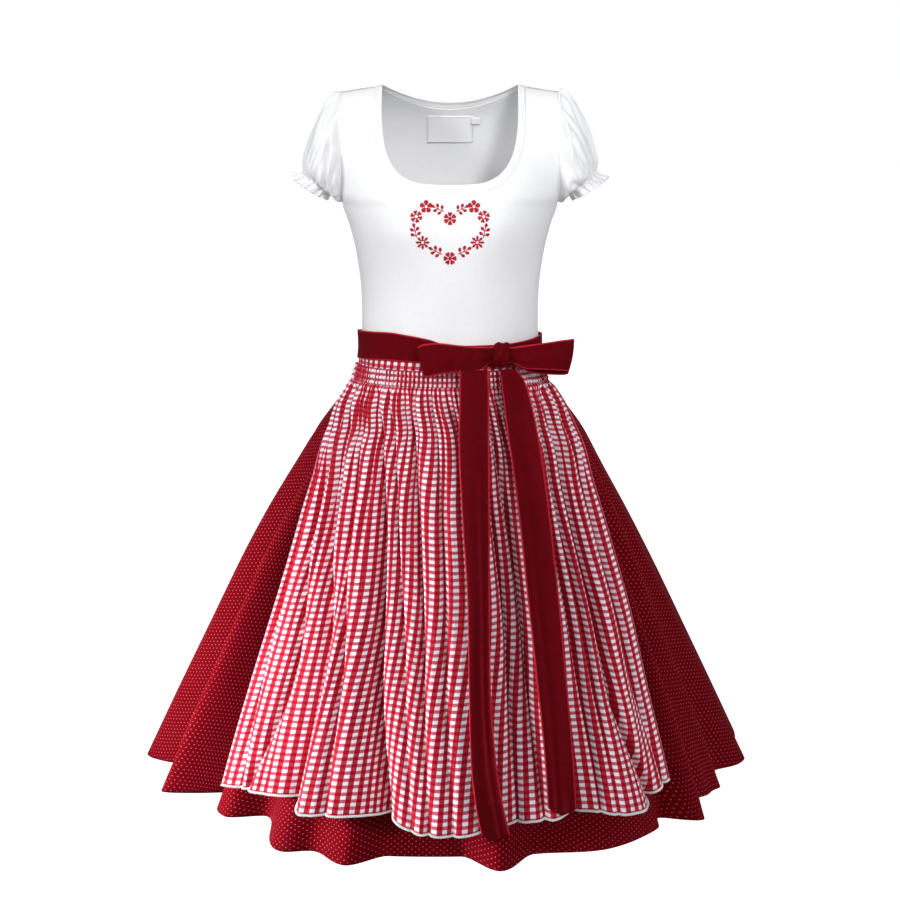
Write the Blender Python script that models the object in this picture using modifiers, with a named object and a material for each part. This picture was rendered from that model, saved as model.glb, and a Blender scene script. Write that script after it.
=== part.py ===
"""A folk dress filled out as it is worn: a white jersey bodice with puff sleeves, a wide dotted skirt,
a gathered gingham apron with a crochet edge, and a velvet ribbon tied in a bow at the waist.

Metres, +Z up. The front faces -Y and the wearer's left is +X. The origin lies midway between the two neck
points of the shoulder seams, where the wearer's shoulders carry the dress. Azimuth 0 is centre front, and
it grows towards +X.
"""

import math
from collections import namedtuple

import bmesh
import bpy
import numpy as np

# Driving sizes of the bodice
NECK_HALF_WIDTH = 0.097
FRONT_NECK_DEPTH = 0.1375
BACK_NECK_DEPTH = 0.025
NECK_CURVE_POWER = 3.5
BINDING_WIDTH = 0.009
SHOULDER_HALF_WIDTH = 0.156
SHOULDER_DROP = 0.009
ARMPIT_Z = -0.166
ARMHOLE_FRONT_DEPTH = 0.050
ARMHOLE_BACK_DEPTH = 0.054
WAIST_Z = -0.378
BUST_Z = -0.196
BUST_HALF_SPACING = 0.074
BUST_RADIUS = 0.050
BUST_FULLNESS = 0.015

# Driving sizes of the skirt and the apron
SKIRT_HEM_Z = -1.000
WAIST_SEAM_Z = -0.3785
APRON_TOP_Z = -0.374
STRIP_BOTTOM_Z = -0.4015
SHIRRING_BOTTOM_Z = -0.4225
SHIRRING_ROWS = 2
SHIRRING_GATHERS = 56
APRON_GATHERS = 21
APRON_GATHER_DEPTH = 0.0032
BACK_GATHERS = 20
BACK_GATHER_DEPTH = 0.0050
LACE_WIDTH = 0.006

# Driving sizes of the velvet ribbon and its bow
RIBBON_WIDTH = 0.042
KNOT_CENTRE = (0.0725, -0.1039, -0.3770)
KNOT_WIDTH = 0.021
KNOT_HALF_DEPTH = 0.0120
KNOT_HALF_HEIGHT = 0.0165
KNOT_LEAN = 0.12

# Cloth walls and the gaps between pieces
JERSEY = 0.0013
BINDING_CLOTH = 0.0020
SLEEVE_CLOTH = 0.0012
SKIRT_CLOTH = 0.0014
APRON_CLOTH = 0.0011
VELVET = 0.0013
LABEL_CLOTH = 0.0010
SEAM_GAP = 0.0003
SIDE_GAP = 0.0005
LAYER_GAP = 0.0011
LABEL_GAP = 0.0013
TAIL_GAP = 0.0007

# The torso that fills the bodice: z, half width, depth of centre front and back, and how far round each
# panel wraps, where 90 degrees reaches the side seam
TorsoRow = namedtuple("TorsoRow", "z half_width front back wrap")
TORSO = [
    TorsoRow(0.000, 0.156, 0.000, 0.000, 62),
    TorsoRow(-0.003, 0.156, 0.012, 0.015, 62),
    TorsoRow(-0.020, 0.156, 0.035, 0.044, 62),
    TorsoRow(-0.050, 0.156, 0.061, 0.071, 63),
    TorsoRow(-0.090, 0.156, 0.088, 0.090, 66),
    TorsoRow(-0.130, 0.156, 0.108, 0.099, 74),
    TorsoRow(-0.166, 0.156, 0.118, 0.101, 90),
    TorsoRow(-0.200, 0.146, 0.119, 0.099, 90),
    TorsoRow(-0.240, 0.1365, 0.115, 0.095, 90),
    TorsoRow(-0.300, 0.1295, 0.105, 0.090, 90),
    TorsoRow(-0.340, 0.1290, 0.099, 0.088, 90),
    TorsoRow(-0.378, 0.1305, 0.098, 0.089, 90),
]

# The cone of the skirt without its folds
SkirtRow = namedtuple("SkirtRow", "z half_width front back")
SKIRT = [
    SkirtRow(-0.3785, 0.1305, 0.0980, 0.0890),
    SkirtRow(-0.402, 0.1330, 0.1010, 0.0930),
    SkirtRow(-0.430, 0.1430, 0.1110, 0.1080),
    SkirtRow(-0.460, 0.1650, 0.1360, 0.1360),
    SkirtRow(-0.500, 0.1950, 0.1700, 0.1720),
    SkirtRow(-0.550, 0.2230, 0.2020, 0.2050),
    SkirtRow(-0.610, 0.2550, 0.2360, 0.2400),
    SkirtRow(-0.700, 0.2990, 0.2830, 0.2880),
    SkirtRow(-0.800, 0.3470, 0.3360, 0.3400),
    SkirtRow(-0.900, 0.3950, 0.3900, 0.3910),
    SkirtRow(-1.000, 0.4420, 0.4400, 0.4400),
]

# The skirt's folds at the hem: how far each ridge and valley stands out of the cone
SkirtFold = namedtuple("SkirtFold", "azimuth out")
SKIRT_FOLDS = [
    SkirtFold(-180, -0.014),
    SkirtFold(-168, 0.026),
    SkirtFold(-158, -0.022),
    SkirtFold(-146, 0.018),
    SkirtFold(-135, -0.026),
    SkirtFold(-121, 0.026),
    SkirtFold(-110, -0.020),
    SkirtFold(-98, 0.012),
    SkirtFold(-90, 0.002),
    SkirtFold(-85, 0.005),
    SkirtFold(-77, -0.040),
    SkirtFold(-68, -0.022),
    SkirtFold(-58, -0.034),
    SkirtFold(-48, -0.020),
    SkirtFold(-42, -0.062),
    SkirtFold(-29, 0.022),
    SkirtFold(-24, 0.002),
    SkirtFold(-17, 0.031),
    SkirtFold(-11, -0.012),
    SkirtFold(2, -0.018),
    SkirtFold(8, 0.034),
    SkirtFold(15, -0.012),
    SkirtFold(28, 0.008),
    SkirtFold(46, -0.012),
    SkirtFold(55, -0.006),
    SkirtFold(71, -0.036),
    SkirtFold(84, 0.006),
    SkirtFold(90, -0.004),
    SkirtFold(99, 0.010),
    SkirtFold(106, -0.012),
    SkirtFold(112, 0.018),
    SkirtFold(119, -0.024),
    SkirtFold(131, 0.030),
    SkirtFold(143, -0.018),
    SkirtFold(155, 0.024),
    SkirtFold(166, -0.022),
    SkirtFold(174, 0.014),
    SkirtFold(180, -0.014),
]

# Where the apron's two side edges lie on the skirt
ApronEdge = namedtuple("ApronEdge", "z left right")
APRON_EDGES = [
    ApronEdge(-0.374, -92.0, 84.0),
    ApronEdge(-0.432, -86.0, 79.0),
    ApronEdge(-0.487, -62.5, 62.0),
    ApronEdge(-0.550, -53.5, 54.0),
    ApronEdge(-0.630, -49.5, 50.5),
    ApronEdge(-0.715, -47.5, 48.0),
    ApronEdge(-0.815, -46.0, 44.5),
    ApronEdge(-0.950, -44.0, 41.5),
]

# The apron's hem, by share of its width: how far it stands out of the skirt's cone, and its height
ApronHem = namedtuple("ApronHem", "share out z")
APRON_HEM = [
    ApronHem(0.000, 0.022, -0.937),
    ApronHem(0.075, 0.028, -0.932),
    ApronHem(0.183, 0.024, -0.930),
    ApronHem(0.232, 0.052, -0.936),
    ApronHem(0.295, 0.044, -0.935),
    ApronHem(0.375, 0.030, -0.935),
    ApronHem(0.466, 0.046, -0.949),
    ApronHem(0.525, 0.045, -0.950),
    ApronHem(0.640, 0.029, -0.942),
    ApronHem(0.710, 0.038, -0.940),
    ApronHem(0.770, 0.034, -0.935),
    ApronHem(0.845, 0.050, -0.942),
    ApronHem(0.905, 0.046, -0.945),
    ApronHem(0.952, 0.033, -0.934),
    ApronHem(1.000, 0.026, -0.925),
]

# The apron's long folds: share of the width where each runs, at the gathers and at the hem, how deep it
# is there and at half height, and its width as a share
ApronFold = namedtuple("ApronFold", "top_share hem_share top_depth mid_depth hem_depth width")
APRON_FOLDS = [
    ApronFold(0.060, 0.072, 0.006, 0.009, 0.004, 0.020),
    ApronFold(0.120, 0.205, 0.011, 0.018, 0.014, 0.026),
    ApronFold(0.200, 0.274, 0.009, 0.013, 0.004, 0.019),
    ApronFold(0.295, 0.391, 0.014, 0.021, 0.015, 0.026),
    ApronFold(0.372, 0.466, 0.010, 0.014, 0.004, 0.019),
    ApronFold(0.450, 0.530, 0.010, 0.017, 0.008, 0.020),
    ApronFold(0.530, 0.600, 0.012, 0.020, 0.010, 0.021),
    ApronFold(0.612, 0.674, 0.010, 0.016, 0.006, 0.020),
    ApronFold(0.702, 0.753, 0.012, 0.018, 0.008, 0.021),
    ApronFold(0.804, 0.833, 0.010, 0.015, 0.004, 0.020),
    ApronFold(0.890, 0.951, 0.011, 0.018, 0.012, 0.025),
    ApronFold(0.952, 0.984, 0.006, 0.007, 0.003, 0.016),
]

# A puff sleeve, ring by ring from the armhole: its outer and inner point seen from the front, its depths
# to the front and back of that line, and the height of its gathers
SleeveRing = namedtuple("SleeveRing", "outer_x outer_z inner_x inner_z front back gather")
SLEEVE = [
    SleeveRing(0.1566, -0.0090, 0.1566, -0.1660, 0.0500, 0.0540, 0.0000),
    SleeveRing(0.1590, -0.0090, 0.1580, -0.1660, 0.0515, 0.0555, 0.0004),
    SleeveRing(0.1720, -0.0170, 0.1610, -0.1665, 0.0620, 0.0640, 0.0022),
    SleeveRing(0.1890, -0.0440, 0.1640, -0.1660, 0.0680, 0.0690, 0.0020),
    SleeveRing(0.2045, -0.0790, 0.1660, -0.1640, 0.0660, 0.0670, 0.0026),
    SleeveRing(0.2120, -0.1070, 0.1680, -0.1600, 0.0580, 0.0590, 0.0038),
    SleeveRing(0.2125, -0.1230, 0.1715, -0.1530, 0.0450, 0.0460, 0.0022),
    SleeveRing(0.2190, -0.1275, 0.1755, -0.1570, 0.0480, 0.0490, 0.0026),
    SleeveRing(0.2290, -0.1310, 0.1800, -0.1630, 0.0530, 0.0540, 0.0036),
]
SLEEVE_GATHERS = 11

# The two hanging ribbon ends: where the middle of each lies, and how wide it shows
TailRow = namedtuple("TailRow", "z x width")
LEFT_TAIL = [
    TailRow(-0.4005, 0.0340, 0.0410),
    TailRow(-0.420, 0.0340, 0.0420),
    TailRow(-0.480, 0.0330, 0.0425),
    TailRow(-0.590, 0.0355, 0.0370),
    TailRow(-0.680, 0.0380, 0.0300),
    TailRow(-0.780, 0.0390, 0.0290),
    TailRow(-0.860, 0.0430, 0.0330),
    TailRow(-0.915, 0.0510, 0.0360),
    TailRow(-0.952, 0.0605, 0.0370),
]
RIGHT_TAIL = [
    TailRow(-0.3965, 0.0820, 0.0230),
    TailRow(-0.412, 0.0890, 0.0340),
    TailRow(-0.480, 0.1015, 0.0430),
    TailRow(-0.570, 0.1140, 0.0430),
    TailRow(-0.660, 0.1235, 0.0430),
    TailRow(-0.760, 0.1330, 0.0400),
    TailRow(-0.850, 0.1410, 0.0380),
    TailRow(-0.927, 0.1460, 0.0370),
]
TAIL_POINT = 0.010

# The ribbon round the waist: its upper and lower edge, level by level round the body
BandRow = namedtuple("BandRow", "azimuth top bottom")
RIBBON_BAND = [
    BandRow(-180, -0.3540, -0.3950),
    BandRow(-90, -0.3560, -0.3945),
    BandRow(-40, -0.3530, -0.3900),
    BandRow(0, -0.3650, -0.3950),
    BandRow(34, -0.3640, -0.3960),
    BandRow(90, -0.3580, -0.3965),
    BandRow(180, -0.3540, -0.3950),
]

# Each loop of the bow seen from above, from the knot round the tip and back, with the height of its lower
# and upper edge and how far the upper edge leans outwards
LoopPoint = namedtuple("LoopPoint", "step x y bottom top lean")
LEFT_LOOP = [
    LoopPoint(0, 0.0700, -0.1070, -0.3921, -0.3621, 0.000),
    LoopPoint(1, 0.0580, -0.1085, -0.3880, -0.3660, 0.000),
    LoopPoint(2, 0.0400, -0.1210, -0.3970, -0.3640, 0.000),
    LoopPoint(3, 0.0100, -0.1270, -0.3990, -0.3600, -0.001),
    LoopPoint(4, -0.0150, -0.1285, -0.4020, -0.3570, -0.003),
    LoopPoint(5, -0.0300, -0.1260, -0.4060, -0.3570, -0.008),
    LoopPoint(6, -0.0350, -0.1210, -0.4070, -0.3590, -0.010),
    LoopPoint(7, -0.0300, -0.1165, -0.4060, -0.3610, -0.008),
    LoopPoint(8, -0.0100, -0.1135, -0.4000, -0.3620, -0.002),
    LoopPoint(9, 0.0200, -0.1120, -0.3950, -0.3630, 0.000),
    LoopPoint(10, 0.0550, -0.1035, -0.3880, -0.3660, 0.000),
    LoopPoint(11, 0.0700, -0.1015, -0.3921, -0.3621, 0.000),
]
RIGHT_LOOP = [
    LoopPoint(0, 0.0750, -0.1070, -0.3919, -0.3619, 0.000),
    LoopPoint(1, 0.0870, -0.1085, -0.3880, -0.3660, 0.000),
    LoopPoint(2, 0.1100, -0.1150, -0.3960, -0.3620, 0.000),
    LoopPoint(3, 0.1350, -0.1150, -0.3970, -0.3580, 0.001),
    LoopPoint(4, 0.1560, -0.1110, -0.3990, -0.3550, 0.003),
    LoopPoint(5, 0.1680, -0.1040, -0.4010, -0.3540, 0.007),
    LoopPoint(6, 0.1690, -0.0970, -0.4050, -0.3560, 0.008),
    LoopPoint(7, 0.1600, -0.0920, -0.4080, -0.3600, 0.005),
    LoopPoint(8, 0.1350, -0.0920, -0.4070, -0.3620, 0.001),
    LoopPoint(9, 0.1100, -0.0955, -0.4020, -0.3640, 0.000),
    LoopPoint(10, 0.0890, -0.1005, -0.3880, -0.3665, 0.000),
    LoopPoint(11, 0.0750, -0.1015, -0.3919, -0.3619, 0.000),
]

# The woven label on the inside of the back
LABEL_WIDTH = 0.068
LABEL_HEIGHT = 0.040
LABEL_CENTRE_Z = -0.064
SIZE_TAB_WIDTH = 0.010

# Colours of the cloths: linear red, green and blue, then roughness
CLOTHS = {
    "white_jersey": (0.86, 0.86, 0.87, 0.85),
    "dotted_cotton": (0.25, 0.004, 0.012, 0.80),
    "gingham": (0.62, 0.25, 0.29, 0.80),
    "red_velvet": (0.13, 0.002, 0.006, 0.90),
    "crochet": (0.88, 0.88, 0.88, 0.85),
    "label": (0.84, 0.84, 0.83, 0.75),
}


def read_off(rows, column, keys):
    """A column of a table at the given keys, along a smooth curve that never overshoots its rows."""
    x = np.array([row[0] for row in rows])
    y = np.array([getattr(row, column) for row in rows], float)
    if x[0] > x[-1]:
        x, y = x[::-1], y[::-1]
    step = np.diff(x)
    rise = np.diff(y) / step
    slope = np.concatenate([rise[:1], np.zeros(len(x) - 2), rise[-1:]])
    before, after = rise[:-1], rise[1:]
    same_way = before * after > 0
    total = np.where(same_way, before + after, 1.0)
    slope[1:-1] = np.where(same_way, 2 * before * after / total, 0.0)
    keys = np.asarray(keys, float)
    k = np.clip(np.searchsorted(x, keys) - 1, 0, len(step) - 1)
    u = np.clip((keys - x[k]) / step[k], 0.0, 1.0)
    return (
        y[k] * (1 + 2 * u) * (1 - u) ** 2
        + y[k + 1] * u * u * (3 - 2 * u)
        + slope[k] * step[k] * u * (1 - u) ** 2
        - slope[k + 1] * step[k] * u * u * (1 - u)
    )


def ease(value, low, high):
    """0 below low, 1 above high, and a smooth rise between them."""
    u = np.clip((value - low) / (high - low), 0.0, 1.0)
    return u * u * (3 - 2 * u)


# Bodice surfaces


def torso_points(side, across, level):
    """Outer points of the bodice. side is -1 for the front and 1 for the back, across runs from -1 at one
    edge to 1 at the other, and level is the height before the shoulder's slope is added."""
    across, level = np.broadcast_arrays(np.asarray(across, float), np.asarray(level, float))
    wrap = np.radians(read_off(TORSO, "wrap", level))
    angle = across * wrap
    x = read_off(TORSO, "half_width", level) * np.sin(angle) / np.sin(wrap)
    armhole = np.sqrt(np.clip(1 - (2 * level / ARMPIT_Z - 1) ** 2, 0, 1)) * (level > ARMPIT_Z)
    edge = armhole * (ARMHOLE_FRONT_DEPTH if side < 0 else ARMHOLE_BACK_DEPTH)
    centre = read_off(TORSO, "front" if side < 0 else "back", level)
    share = (np.cos(angle) - np.cos(wrap)) / (1 - np.cos(wrap))
    depth = edge + (centre - edge) * share
    if side < 0:
        reach = ((np.abs(x) - BUST_HALF_SPACING) ** 2 + (level - BUST_Z) ** 2) / BUST_RADIUS**2
        depth = depth + BUST_FULLNESS * np.exp(-reach)
    run = (np.abs(x) - NECK_HALF_WIDTH) / (SHOULDER_HALF_WIDTH - NECK_HALF_WIDTH)
    slope = SHOULDER_DROP * np.clip(run, 0, 1)
    z = np.where(level > ARMPIT_Z, level - slope * (1 - level / ARMPIT_Z), level)
    return np.stack([x, side * (depth + SIDE_GAP), z], axis=-1)


def across_of(x, level):
    """The share across a panel at which the bodice is x from its middle."""
    wrap = np.radians(read_off(TORSO, "wrap", level))
    sine = np.clip(x * np.sin(wrap) / read_off(TORSO, "half_width", level), -1, 1)
    return np.arcsin(sine) / wrap


NECK_ANGLES = [0, 0.15, 1.2, 4.5, 11, 19, 29, 39, 48, 57, 66, 74, 82, 90]
BACK_NECK_SHARES = [1.0, 0.94, 0.8, 0.6, 0.4, 0.2, 0.0]
STRAP_ROWS = 7
STRAP_COLUMNS = 4
FRONT_ROWS = 8
BACK_ROWS = 11


def front_neck_curve(grow):
    """The neckline on the front, grow wider and deeper than the opening, from -X to +X."""
    angles = np.radians(NECK_ANGLES + [180 - a for a in NECK_ANGLES[-2::-1]])
    power = 2 / NECK_CURVE_POWER
    x = -(NECK_HALF_WIDTH + grow) * np.sign(np.cos(angles)) * np.abs(np.cos(angles)) ** power
    level = -(FRONT_NECK_DEPTH + grow) * np.abs(np.sin(angles)) ** power
    return x, level


def back_neck_curve(grow):
    """The neckline on the back, from +X to -X."""
    share = np.array(BACK_NECK_SHARES + [-s for s in BACK_NECK_SHARES[-2::-1]])
    level = -(BACK_NECK_DEPTH + grow) * (1 - share**2)
    return (NECK_HALF_WIDTH + grow) * share, level


def front_panel():
    """Rows of outer points from the waist up. Above the round of the neckline only the two straps go on,
    and the points between them are left empty."""
    neck_x, neck_level = front_neck_curve(BINDING_WIDTH)
    neck_across = across_of(neck_x, neck_level)
    corner = STRAP_ROWS
    strap = np.linspace(-1, neck_across[corner], STRAP_COLUMNS + 1)[:-1]
    top_across = np.concatenate([strap, neck_across[corner : len(neck_x) - corner], -strap[::-1]])
    side_level = np.full(STRAP_COLUMNS, neck_level[corner])
    top_level = np.concatenate([side_level, neck_level[corner : len(neck_x) - corner], side_level])
    rows = []
    for up in np.linspace(0, 1, FRONT_ROWS + 1):
        rows.append(torso_points(-1, top_across, WAIST_Z + (top_level - WAIST_Z) * up))
    for row in range(corner - 1, -1, -1):
        level = neck_level[row]
        strap = np.linspace(-1, neck_across[row], STRAP_COLUMNS + 1)
        empty = np.full((len(top_across) - 2 * len(strap), 3), np.nan)
        left, right = torso_points(-1, strap, level), torso_points(-1, -strap[::-1], level)
        rows.append(np.concatenate([left, empty, right]))
    return np.array(rows)


def back_panel():
    """Rows of outer points from the waist up to the neckline and the shoulders."""
    neck_x, neck_level = back_neck_curve(BINDING_WIDTH)
    neck_across = across_of(neck_x, neck_level)
    shoulder = np.linspace(1, neck_across[0], STRAP_COLUMNS + 1)[:-1]
    across = np.concatenate([shoulder, neck_across, -shoulder[::-1]])
    flat = np.zeros(STRAP_COLUMNS)
    top_level = np.concatenate([flat, neck_level, flat])
    steps = 1 - (1 - np.linspace(0, 1, BACK_ROWS + 1)) ** 2
    return np.array([torso_points(1, across, WAIST_Z + (top_level - WAIST_Z) * up) for up in steps])


def binding_ring():
    """Two rows of points round the neck: the seam with the panels, and the edge of the opening."""
    rows = []
    for grow in (BINDING_WIDTH - 2 * SEAM_GAP, 0.0):
        front_x, front_level = front_neck_curve(grow)
        back_x, back_level = back_neck_curve(grow)
        front = torso_points(-1, across_of(front_x, front_level), front_level)
        back = torso_points(1, across_of(back_x, back_level), back_level)
        ring = np.concatenate([front, back[1:-1]])
        ring[0, 1] = ring[len(front) - 1, 1] = 0.0
        rows.append(ring)
    return np.array(rows)


def sleeve_rings(side):
    """Rings of a puff sleeve from the ruffle up to the armhole. side is 1 on the wearer's left."""
    turns = np.linspace(0, 2 * math.pi, SLEEVE_COLUMNS, endpoint=False)
    rings = []
    for ring in reversed(SLEEVE):
        outer = np.array([ring.outer_x, 0.0, ring.outer_z])
        inner = np.array([ring.inner_x, 0.0, ring.inner_z])
        depth = np.where(np.sin(turns) < 0, ring.front, ring.back)
        spread = np.outer(np.cos(turns), (outer - inner) / 2)
        spread[:, 1] = depth * np.sin(turns)
        away = spread / np.linalg.norm(spread, axis=1)[:, None]
        wave = ring.gather * np.cos(SLEEVE_GATHERS * turns)
        points = (outer + inner) / 2 + spread + away * wave[:, None]
        rings.append(points * [side, 1, 1])
    rings = np.array(rings)
    return rings if side > 0 else rings[:, ::-1]


SLEEVE_COLUMNS = 33


# Skirt and apron surfaces


def cone_points(azimuth, z, out):
    """Points of the skirt's cone at an azimuth in degrees and a height, moved straight out of its side."""
    azimuth, z, out = np.broadcast_arrays(
        np.asarray(azimuth, float), np.asarray(z, float), np.asarray(out, float)
    )
    angle = np.radians(azimuth)
    wide = read_off(SKIRT, "half_width", z)
    front, back = read_off(SKIRT, "front", z), read_off(SKIRT, "back", z)
    deep = np.where(np.cos(angle) > 0, front, back)
    normal = np.stack([np.sin(angle) * deep, -np.cos(angle) * wide], axis=-1)
    normal /= np.linalg.norm(normal, axis=-1)[..., None]
    x = wide * np.sin(angle) + normal[..., 0] * out
    y = -deep * np.cos(angle) + normal[..., 1] * out
    return np.stack([x, y, z], axis=-1)


def skirt_out(azimuth, z):
    """How far the skirt's folds stand out of its cone. They open from the waist down, later under the
    apron than at the sides and back."""
    down = np.clip((STRIP_BOTTOM_Z - z) / (STRIP_BOTTOM_Z - SKIRT_HEM_Z), 0, 1)
    under_apron = np.exp(-((azimuth / 50.0) ** 6))
    folds = read_off(SKIRT_FOLDS, "out", azimuth) * down ** (1.15 + 0.9 * under_apron)
    behind = ease(np.abs(azimuth), 91, 102)
    crest = np.cos(np.radians(azimuth) * 2 * BACK_GATHERS)
    fine = behind * BACK_GATHER_DEPTH * crest * ease(z, -0.62, -0.47) * ease(-z, 0.402, 0.440)
    return folds + fine - 0.004 * under_apron * np.sin(math.pi * down)


def apron_share(azimuth, z):
    """The share of the apron's width that lies at an azimuth, from its left edge to its right."""
    left, right = read_off(APRON_EDGES, "left", z), read_off(APRON_EDGES, "right", z)
    return (azimuth - left) / (right - left)


def apron_azimuth(share, z):
    left, right = read_off(APRON_EDGES, "left", z), read_off(APRON_EDGES, "right", z)
    return left + (right - left) * share


def apron_out(share, z):
    """How far the apron's outer face stands out of the skirt's cone."""
    hem_z = read_off(APRON_HEM, "z", share)
    down = np.clip((SHIRRING_BOTTOM_Z - z) / (SHIRRING_BOTTOM_Z - hem_z), 0, 1)
    hem = read_off(APRON_HEM, "out", share)
    out = 0.0048 + 0.016 * ease(down, 0, 0.25) * (1 - down) + hem * down**1.3
    for fold in APRON_FOLDS:
        middle = fold.top_share + (fold.hem_share - fold.top_share) * ease(down, -0.1, 0.8)
        low, high = fold.mid_depth - fold.top_depth, fold.hem_depth - fold.mid_depth
        depth = fold.top_depth + low * ease(down, 0, 0.45) + high * ease(down, 0.45, 1.0)
        trough = np.exp(-(((share - middle) / fold.width) ** 2))
        out = out - depth * trough * ease(down, 0, 0.06)
    crest = np.cos(2 * math.pi * APRON_GATHERS * share)
    out = out + APRON_GATHER_DEPTH * crest * ease(down, 0.0, 0.03) * (1 - ease(down, 0.08, 0.34))
    clear = skirt_out(apron_azimuth(share, z), z) + APRON_CLOTH + 0.0028
    return clear + np.logaddexp(0, (out - clear) / 0.0015) * 0.0015


def apron_panel():
    shares = np.linspace(0, 1, APRON_COLUMNS + 1)
    hem_z = read_off(APRON_HEM, "z", shares)
    rows = []
    for down in APRON_ROWS:
        z = SHIRRING_BOTTOM_Z - 2 * SEAM_GAP + (hem_z - SHIRRING_BOTTOM_Z) * down
        rows.append(cone_points(apron_azimuth(shares, z), z, apron_out(shares, z)))
    return np.array(rows[::-1])


APRON_COLUMNS = 84
APRON_ROWS = [0, 0.03, 0.08, 0.16, 0.27, 0.42, 0.60, 0.80, 1.0]
SKIRT_LEVELS = [-1.0, -0.89, -0.78, -0.68, -0.59, -0.52, -0.47, -0.435, -0.402, -0.3788]


def skirt_panel(first, last, columns):
    """Rows of outer points of a skirt panel between two azimuths, from the hem up to the waist."""
    azimuth = np.linspace(first, last, columns + 1)
    wrapped = (azimuth + 180) % 360 - 180
    rows = [cone_points(azimuth, z, skirt_out(wrapped, np.full(len(azimuth), z))) for z in SKIRT_LEVELS]
    rows = np.array(rows)
    away = np.array([0.0, SIDE_GAP, 0.0])
    return rows - away if last <= 90 else rows + away


# Making solids


def clear_scene():
    for found in list(bpy.data.objects):
        bpy.data.objects.remove(found)


def make_materials():
    made = {}
    for name, (red, green, blue, roughness) in CLOTHS.items():
        material = bpy.data.materials.new(name)
        material.use_nodes = True
        shader = material.node_tree.nodes["Principled BSDF"]
        shader.inputs["Base Color"].default_value = (red, green, blue, 1.0)
        shader.inputs["Roughness"].default_value = roughness
        shader.inputs["Metallic"].default_value = 0.0
        made[name] = material
    return made


def add_object(name, mesh, cloth):
    made = bpy.data.objects.new(name, mesh)
    mesh.materials.append(MATERIALS[cloth])
    mesh.shade_smooth()
    DRESS.objects.link(made)
    return made


def sheet(name, points, thickness, cloth, ring=False, offset=-1.0):
    """A cloth wall on rows of outer points, given from the bottom up with azimuth growing along a row.
    Points that are not numbers stay open."""
    rows, columns = points.shape[:2]
    shape = bmesh.new()
    corners = [[None if np.isnan(p[0]) else shape.verts.new(p) for p in row] for row in points]
    for r in range(rows - 1):
        for c in range(columns if ring else columns - 1):
            n = (c + 1) % columns
            face = (corners[r][c], corners[r][n], corners[r + 1][n], corners[r + 1][c])
            if all(face):
                shape.faces.new(face)
    mesh = bpy.data.meshes.new(name)
    shape.to_mesh(mesh)
    shape.free()
    made = add_object(name, mesh, cloth)
    wall = made.modifiers.new("wall", "SOLIDIFY")
    wall.thickness = thickness
    wall.offset = offset
    return made


def build_bodice():
    sheet("bodice_front", front_panel(), JERSEY, "white_jersey")
    sheet("bodice_back", back_panel(), JERSEY, "white_jersey")
    sheet("neck_binding", binding_ring(), BINDING_CLOTH, "white_jersey", ring=True, offset=0.0)
    sheet("sleeve_left", sleeve_rings(1), SLEEVE_CLOTH, "white_jersey", ring=True)
    sheet("sleeve_right", sleeve_rings(-1), SLEEVE_CLOTH, "white_jersey", ring=True)


def label_points(left, right, bottom, top, columns):
    """Rows of points on the inside of the back, facing the wearer."""
    rows = []
    for level in np.linspace(bottom, top, 4):
        x = np.linspace(right, left, columns + 1)
        row = torso_points(1, across_of(x, np.full(columns + 1, level)), level)
        row[:, 1] -= JERSEY + LABEL_CLOTH + LABEL_GAP
        rows.append(row)
    return np.array(rows)


def build_label():
    half, low = LABEL_WIDTH / 2, LABEL_CENTRE_Z - LABEL_HEIGHT / 2
    face = label_points(-half, half, low, low + LABEL_HEIGHT, 8)
    sheet("neck_label", face, LABEL_CLOTH, "label", offset=1.0)
    tab_low = low + LABEL_HEIGHT * 0.68
    tab_left = half + SEAM_GAP
    tab = label_points(tab_left, tab_left + SIZE_TAB_WIDTH, tab_low, tab_low + SIZE_TAB_WIDTH, 2)
    sheet("size_tab", tab, LABEL_CLOTH, "label", offset=1.0)


def build_skirt():
    sheet("skirt_front", skirt_panel(-90, 90, 54), SKIRT_CLOTH, "dotted_cotton")
    sheet("skirt_back", skirt_panel(90, 270, 60), SKIRT_CLOTH, "dotted_cotton")


def waist_points(azimuth, z, out):
    """Points round the waist: over the skirt's cone below its seam, and straight up above it."""
    azimuth, z = np.broadcast_arrays(np.asarray(azimuth, float), np.asarray(z, float))
    points = cone_points(azimuth, np.minimum(z, WAIST_SEAM_Z), out)
    points[..., 2] += np.maximum(z - WAIST_SEAM_Z, 0)
    return points


def build_apron():
    panel = apron_panel()
    sheet("apron_panel", panel, APRON_CLOTH, "gingham")
    build_lace(panel)

    gathers = 2 * SHIRRING_GATHERS
    share = np.linspace(0, 1, gathers + 1)
    levels = np.linspace(SHIRRING_BOTTOM_Z, STRIP_BOTTOM_Z - 2 * SEAM_GAP, SHIRRING_ROWS + 1)
    crest = np.where(np.arange(gathers + 1) % 2 == 0, 0.0022, 0.0)
    rows = [cone_points(apron_azimuth(share, z), z, SHIRRING_OUT + crest) for z in levels]
    sheet("apron_shirring", np.array(rows), APRON_CLOTH, "gingham")

    share = np.linspace(0, 1, 45)
    levels = (STRIP_BOTTOM_Z, -0.390, WAIST_SEAM_Z, APRON_TOP_Z)
    rows = [waist_points(apron_azimuth(share, z), z, STRIP_OUT) for z in levels]
    sheet("apron_waist_strip", np.array(rows), APRON_CLOTH, "gingham")


SHIRRING_OUT = 0.0036
STRIP_OUT = 0.0022


def build_lace(panel):
    """A narrow edging that hangs on from the apron's hem."""
    way = panel[0] - panel[1]
    way /= np.linalg.norm(way, axis=1)[:, None]
    top = panel[0] + way * 2 * SEAM_GAP
    sheet("apron_lace", np.array([top + way * LACE_WIDTH, top]), APRON_CLOTH, "crochet")


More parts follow.
